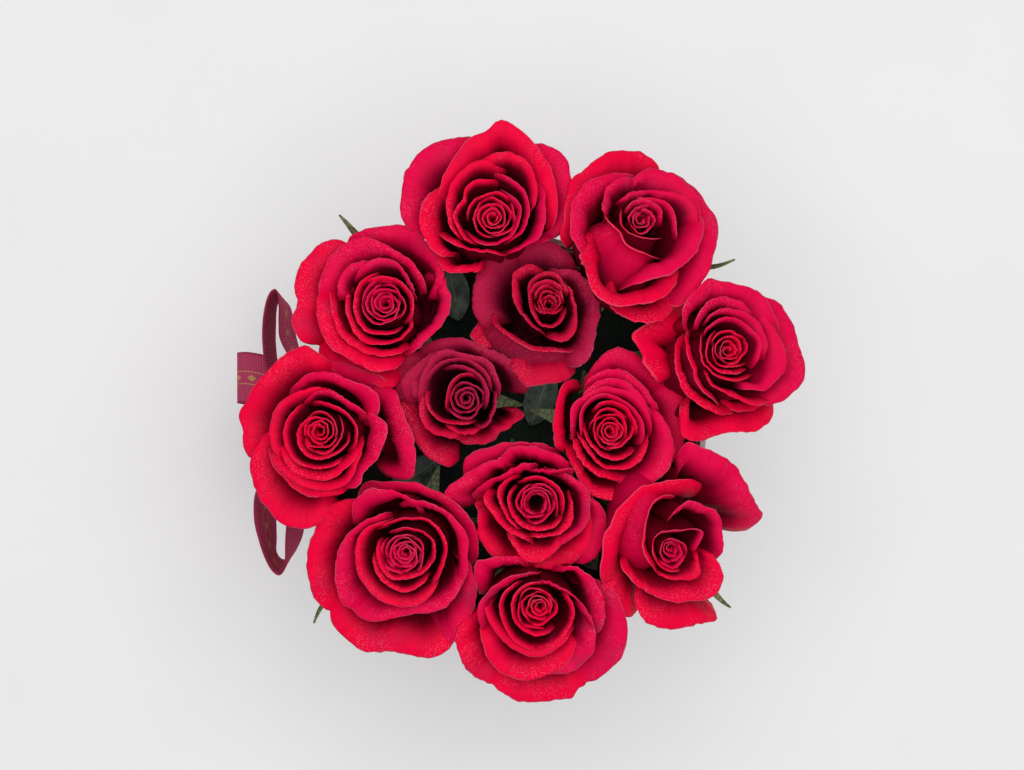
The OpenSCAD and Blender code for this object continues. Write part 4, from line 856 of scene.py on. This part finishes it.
        ("mid", (178, 26), (173, 27.6), (166, 26), (158, 23.6), (148, 20.8), (138, 18.8), (128, 18.2),
            (119, 18), (109, 17.6), (99, 17.3), (86, 16.6)),
        ("mid", (80, 15.4), (66, 16), (54, 17), (46, 17.8), (38, 18.5), (28, 20.4), (17, 22.4),
            (6, 22.8), (-5, 23.1), (-14, 23.8), (-22, 24), (-30, 23.4), (-38, 22.6), (-49, 21.6),
            (-60, 20.9), (-80, 20)),
        ("mid", (218, 17), (234, 19.6), (248, 22.8), (257, 25.2), (265, 26), (272, 25.6), (280, 24.6),
            (294, 21.6), (312, 19)),
        ("in", (104, 14.4), (90, 14.4), (76, 14.6), (66, 15.2), (58, 16.6), (50, 19.2), (43, 21.6),
            (36, 19)),
        ("in", (160, 20.6), (168, 22.2), (175, 22.8), (182, 21.8), (190, 20), (200, 19), (215, 17.8),
            (231, 16.9), (247, 16.6), (260, 16.8), (268, 18.4)),
        ("in", (252, 15), (268, 15), (284, 15.2), (298, 16), (311, 17), (324, 17.9), (336, 17.4),
            (348, 16.3), (364, 15.4), (384, 14.6)),
        ("in", (118, 14), (132, 15.4), (146, 16.8), (158, 17.6), (170, 17), (184, 15.6), (200, 14.4),
            (216, 14), (234, 14.2), (252, 14.6)),
        ("ring", (134, 11.6), (150, 12.2), (168, 12.6), (188, 12.2), (208, 11.8), (228, 11.8),
            (250, 12), (272, 12.2), (296, 12.8), (320, 13.2), (342, 12.8)),
        ("ring", (-30, 12.4), (-10, 12.2), (10, 12), (30, 11.8), (50, 11.6), (70, 11.4), (92, 11.4),
            (114, 11.6), (136, 12)),
    ]),
]

for number, (place, heart, cup, finish, petals) in enumerate(ROSES, 1):
    name = "rose_%02d" % number
    bloom = Bloom(*place)
    mesh = bmesh.new()
    heart_petals(mesh, bloom, number, *heart)
    open_petals(mesh, bloom, number, cup, petals)
    piece = piece_from(mesh, name + "_bloom", name, finish, PETAL_T, back=1, rim=1)
    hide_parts(name + "_petals", name + "_heart")
    dress(name + "_stem", stem_skin)
    dress(name + "_calyx", sepal_skin)

# ---- Long sepals that show beside the flowers ----


def through(knots, t):
    """A point on a smooth line through knots, t running from 0 to 1."""
    k = min(int(t * (len(knots) - 1)), len(knots) - 2)
    s = t * (len(knots) - 1) - k
    a, b, c, d = (Vector(knots[min(max(i, 0), len(knots) - 1)]) for i in (k - 1, k, k + 1, k + 2))
    return 0.5 * (2 * b + (c - a) * s + (2 * a - 5 * b + 4 * c - d) * s * s
        + (3 * b - 3 * c + d - a) * s ** 3)


def long_sepal(number, line):
    """A keeled blade that tapers to a point: its two sides stand a little higher than its middle."""
    mesh = bmesh.new()
    for v in grid_points(mesh, 10, 48):
        t, u = (v.co.y + 1) / 2, v.co.x
        ahead = (through(line, min(1, t + 0.02)) - through(line, max(0, t - 0.02))).normalized()
        side = ahead.cross(Vector((0, 0, 1))).normalized()
        half = 2.6 * (1 - t) ** 0.8 * (0.6 + 0.4 * math.sin(math.pi * t)) + 0.25
        lift = 0.35 * half * u * u + 0.4 * math.sin(9 * t + number)
        v.co = through(line, t) + side * (half * u) + Vector((0, 0, lift))
    name = "rose_%02d" % number
    piece_from(mesh, name + "_long_sepal", name, [sepal_skin], SEPAL_T)


SEPAL_T = 0.5
# The flower each belongs to, and its line from the hip, under the petals, to its tip
LONG_SEPALS = [
    (8, (-49, 52, 164), (-57, 68, 166), (-65, 84, 172), (-71, 92, 177), (-75, 96.5, 180)),
    (6, (-44, -46, 165), (-60, -60, 163.5), (-76, -72, 166), (-84, -79, 166), (-88, -87, 163)),
    (4, (62, -43, 170), (76, -54, 170), (88, -67, 172), (95, -75, 174), (100, -79, 172)),
    (2, (52, 77, 175), (66, 78, 170), (80, 75, 168), (92, 74, 171), (101.5, 77, 175)),
]
for number, *line in LONG_SEPALS:
    long_sepal(number, line)

# ---- Box, liner and foam ----

board = board_material()
dress("box_wall", board)
dress("box_base", board)
dress("foam", foam_material())
dress("liner", liner_material())

# ---- Leaves ----

# Each leaf: how far from the middle (as a share of the wall's radius) and in which direction its stalk
# stands in the foam, and the direction of its blade
LEAVES = [(0.21, 41, 70), (0.75, 112, 100), (0.50, 205, 215), (0.80, -4, 60), (0.65, -57, -60),
    (0.57, 160, 80)]
LEAF_L, LEAF_W, LEAF_T, LEAF_Z = 30.0, 15.0, 0.5, 148.0
STALK_L, STALK_MIDDLE = 24.0, -2.5    # the stalk's length, and its middle against the foam's top


def leaf(mesh, number, share, direction, facing):
    """A toothed blade, folded along its midrib, arched and a little wavy, on a stalk in the foam."""
    along, across = carried(mesh, "along", "across")
    foot = Vector((*polar(share * RIM_R, direction), FOAM_TOP))
    swing = Matrix.Rotation(math.radians(facing), 3, "Z")
    for v in grid_points(mesh, 24, 16):
        t, u = (v.co.x + 1) / 2, v.co.y
        half = LEAF_W / 2 * math.sin(math.pi * t ** 0.85) ** 0.8 * (1 + 0.05 * math.sin(t * 75))
        x, y = LEAF_L * (t - 0.35), half * u
        fold = 1.6 * abs(u) ** 1.2 * math.sin(math.pi * t)
        wave = 0.6 * noise.noise(Vector((x * 0.2, y * 0.3, number)))
        z = LEAF_Z + 0.14 * x + fold - 0.006 * x * x + wave
        v.co = foot.xy.to_3d() + swing @ Vector((x, y, z))
        v[along], v[across] = t, u
    stalk = bmesh.ops.create_cone(mesh, cap_ends=True, segments=12, radius1=1.0, radius2=0.8, depth=STALK_L)
    bmesh.ops.translate(mesh, vec=foot + Vector((0, 0, STALK_MIDDLE)), verts=stalk["verts"])


mesh = bmesh.new()
for number, row in enumerate(LEAVES):
    leaf(mesh, number, *row)
leaves = piece_from(mesh, "leaf_blades", "insert", [leaf_material()], LEAF_T)
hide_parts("leaves")

# ---- Ribbon ----

# The printed side, then the plain one
RIBBON_SIDES = [ribbon_material("burgundy_grosgrain_printed_side", 0.85),
    ribbon_material("burgundy_grosgrain_plain_side", 0.0)]
STEPS = 400    # the ribbon's length is measured in so many steps


def ribbon(name, path, across_of, width, node, cells):
    """A length of ribbon in place of a node. path(t) is its middle line, and across_of(t) the direction of
    its width."""
    mesh = bmesh.new()
    sheet = mesh.loops.layers.uv.new("ribbon")
    points = grid_points(mesh, *cells)
    lengths = [0.0]
    for k in range(STEPS):
        lengths.append(lengths[-1] + (path((k + 1) / STEPS) - path(k / STEPS)).length)
    for face in mesh.faces:
        for loop in face.loops:
            t = (loop.vert.co.y + 1) / 2
            from_edge = (loop.vert.co.x + 1) / 2 * width
            loop[sheet].uv = (from_edge / UV_UNIT, lengths[round(t * STEPS)] / UV_UNIT)
    for v in points:
        t, u = (v.co.y + 1) / 2, v.co.x
        v.co = path(t) + across_of(t) * (u * width / 2)
    piece = piece_from(mesh, name, "box", RIBBON_SIDES, RIBBON_T, back=1)
    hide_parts(node)


BAND_R = BOX_R + 0.35    # the band's middle line


def band_line(t):
    """Once round the box, from the knot."""
    angle = math.pi * (1 - 2 * t)
    return Vector((BAND_R * math.cos(angle), BAND_R * math.sin(angle), RIBBON_Z))


ribbon("ribbon_round_box", band_line, lambda t: Vector((0, 0, 1)), RIBBON_W,
    "ribbon_band", (10, 180))

# Middle lines of the loops, from the knot and back to it, as x, y, height above the ribbon's own, and how
# far their top edge flares outwards to x and y
UPPER_LOOP = [(-98.6, 8.5, 0, -0.02, 0), (-107, 18, 0, -0.08, 0), (-112.6, 28, 0, -0.12, 0),
    (-114.4, 40, 0, -0.12, 0), (-114.4, 50, 0, -0.12, 0.02), (-113.6, 58, 0, -0.08, 0.08),
    (-112.2, 62.4, 0, -0.04, 0.14), (-110, 64, 0, -0.03, 0.17), (-108, 62.2, 0, -0.06, 0.13),
    (-106.8, 57.6, 0, -0.12, 0.06), (-106.2, 50, 0, -0.17, 0), (-105, 42, 0, -0.2, 0),
    (-99.6, 29, 0, -0.08, 0), (-96.2, 18, 0, -0.03, 0), (-94.4, 8.5, 0, 0, 0)]
LOWER_LOOP = [(-98.6, -8.5, 0, -0.04, 0), (-109, -17, 0, -0.12, 0), (-115.8, -29, 0, -0.26, 0),
    (-116.4, -42, 0, -0.3, 0), (-115, -53, 0, -0.2, -0.03), (-113.6, -60.4, 0, -0.07, -0.1),
    (-111.4, -64.6, 0, -0.02, -0.16), (-108.4, -66.4, 0, 0, -0.2), (-105.6, -64.2, 0, -0.02, -0.16),
    (-104, -59.4, 0, -0.1, -0.08), (-102.4, -51, 0, -0.22, 0), (-101.2, -40, 0, -0.22, 0),
    (-98.6, -28, 0, -0.1, 0), (-96.0, -17, 0, -0.03, 0), (-94.4, -8.5, 0, 0, 0)]
# Middle lines of the tails, from the knot to their ends
FRONT_TAIL = [(-99, 2, 101), (-104, 7, 98.5), (-110, 15, 97.5), (-117, 22, 97), (-126, 24.4, 95),
    (-132.4, 24.4, 89), (-132.8, 24, 77), (-128, 22.4, 58), (-121.6, 20.8, 40)]
BACK_TAIL = [(-98, -6, 103), (-101.5, -11, 96), (-103, -13, 84), (-100, -14.4, 68), (-103, -15.4, 50),
    (-101, -16, 29)]

for name, knots in (("bow_loop_upper", UPPER_LOOP), ("bow_loop_lower", LOWER_LOOP)):
    ribbon(name + "_ribbon", lambda t: through(knots, t).to_3d() + Vector((0, 0, RIBBON_Z)),
        lambda t: Vector((*through(knots, t)[3:], 1)).normalized(),
        RIBBON_W, name, (10, 120))
# The tails twist a little as they fall
ribbon("bow_tail_front_ribbon", lambda t: through(FRONT_TAIL, t),
    lambda t: Vector((0.05 * math.sin(5 * t), 1, -0.04)).normalized(),
    RIBBON_W, "bow_tail_front", (12, 80))
ribbon("bow_tail_back_ribbon", lambda t: through(BACK_TAIL, t),
    lambda t: Vector((0.12 * math.sin(4 * t), 1, 0.1)).normalized(),
    RIBBON_W, "bow_tail_back", (12, 60))

KNOT_X, KNOT_W, KNOT_HALF_T, KNOT_HALF_H = -96.1, 18.0, 5.3, 12.2


def knot_line(t):
    """Once round the crossing of the band and the bow, as an upright oval."""
    a = 2 * math.pi * t
    return Vector((KNOT_X - KNOT_HALF_T * math.cos(a), 0, RIBBON_Z - KNOT_HALF_H * math.sin(a)))


ribbon("bow_knot_ribbon", knot_line, lambda t: Vector((0, 1, 0)), KNOT_W,
    "bow_knot", (16, 60))

# ---- Floor and light, in metres ----

FLOOR_HALF = 4.0
mesh = bmesh.new()
bmesh.ops.create_grid(mesh, x_segments=4, y_segments=4, size=FLOOR_HALF)
data = bpy.data.meshes.new("floor")
mesh.to_mesh(data)
mesh.free()
data.materials.append(floor_material())
floor = bpy.data.objects.new("floor", data)
bpy.context.scene.collection.objects.link(floor)

LIGHT_AT = (0.05, 0.25, 2.3)
softbox = bpy.data.lights.new("softbox_above", "AREA")
softbox.shape = "DISK"
softbox.size = 2.6
softbox.energy = 47.0
lamp = bpy.data.objects.new("softbox_above", softbox)
lamp.location = LIGHT_AT
lamp.rotation_euler = (-Vector(LIGHT_AT)).to_track_quat("-Z", "Y").to_euler()
bpy.context.scene.collection.objects.link(lamp)

world = bpy.data.worlds.new("studio")
world.use_nodes = True
surround = world.node_tree.nodes["Background"]
surround.inputs["Color"].default_value = (0.96, 0.98, 1.0, 1.0)
surround.inputs["Strength"].default_value = 0.42
bpy.context.scene.world = world
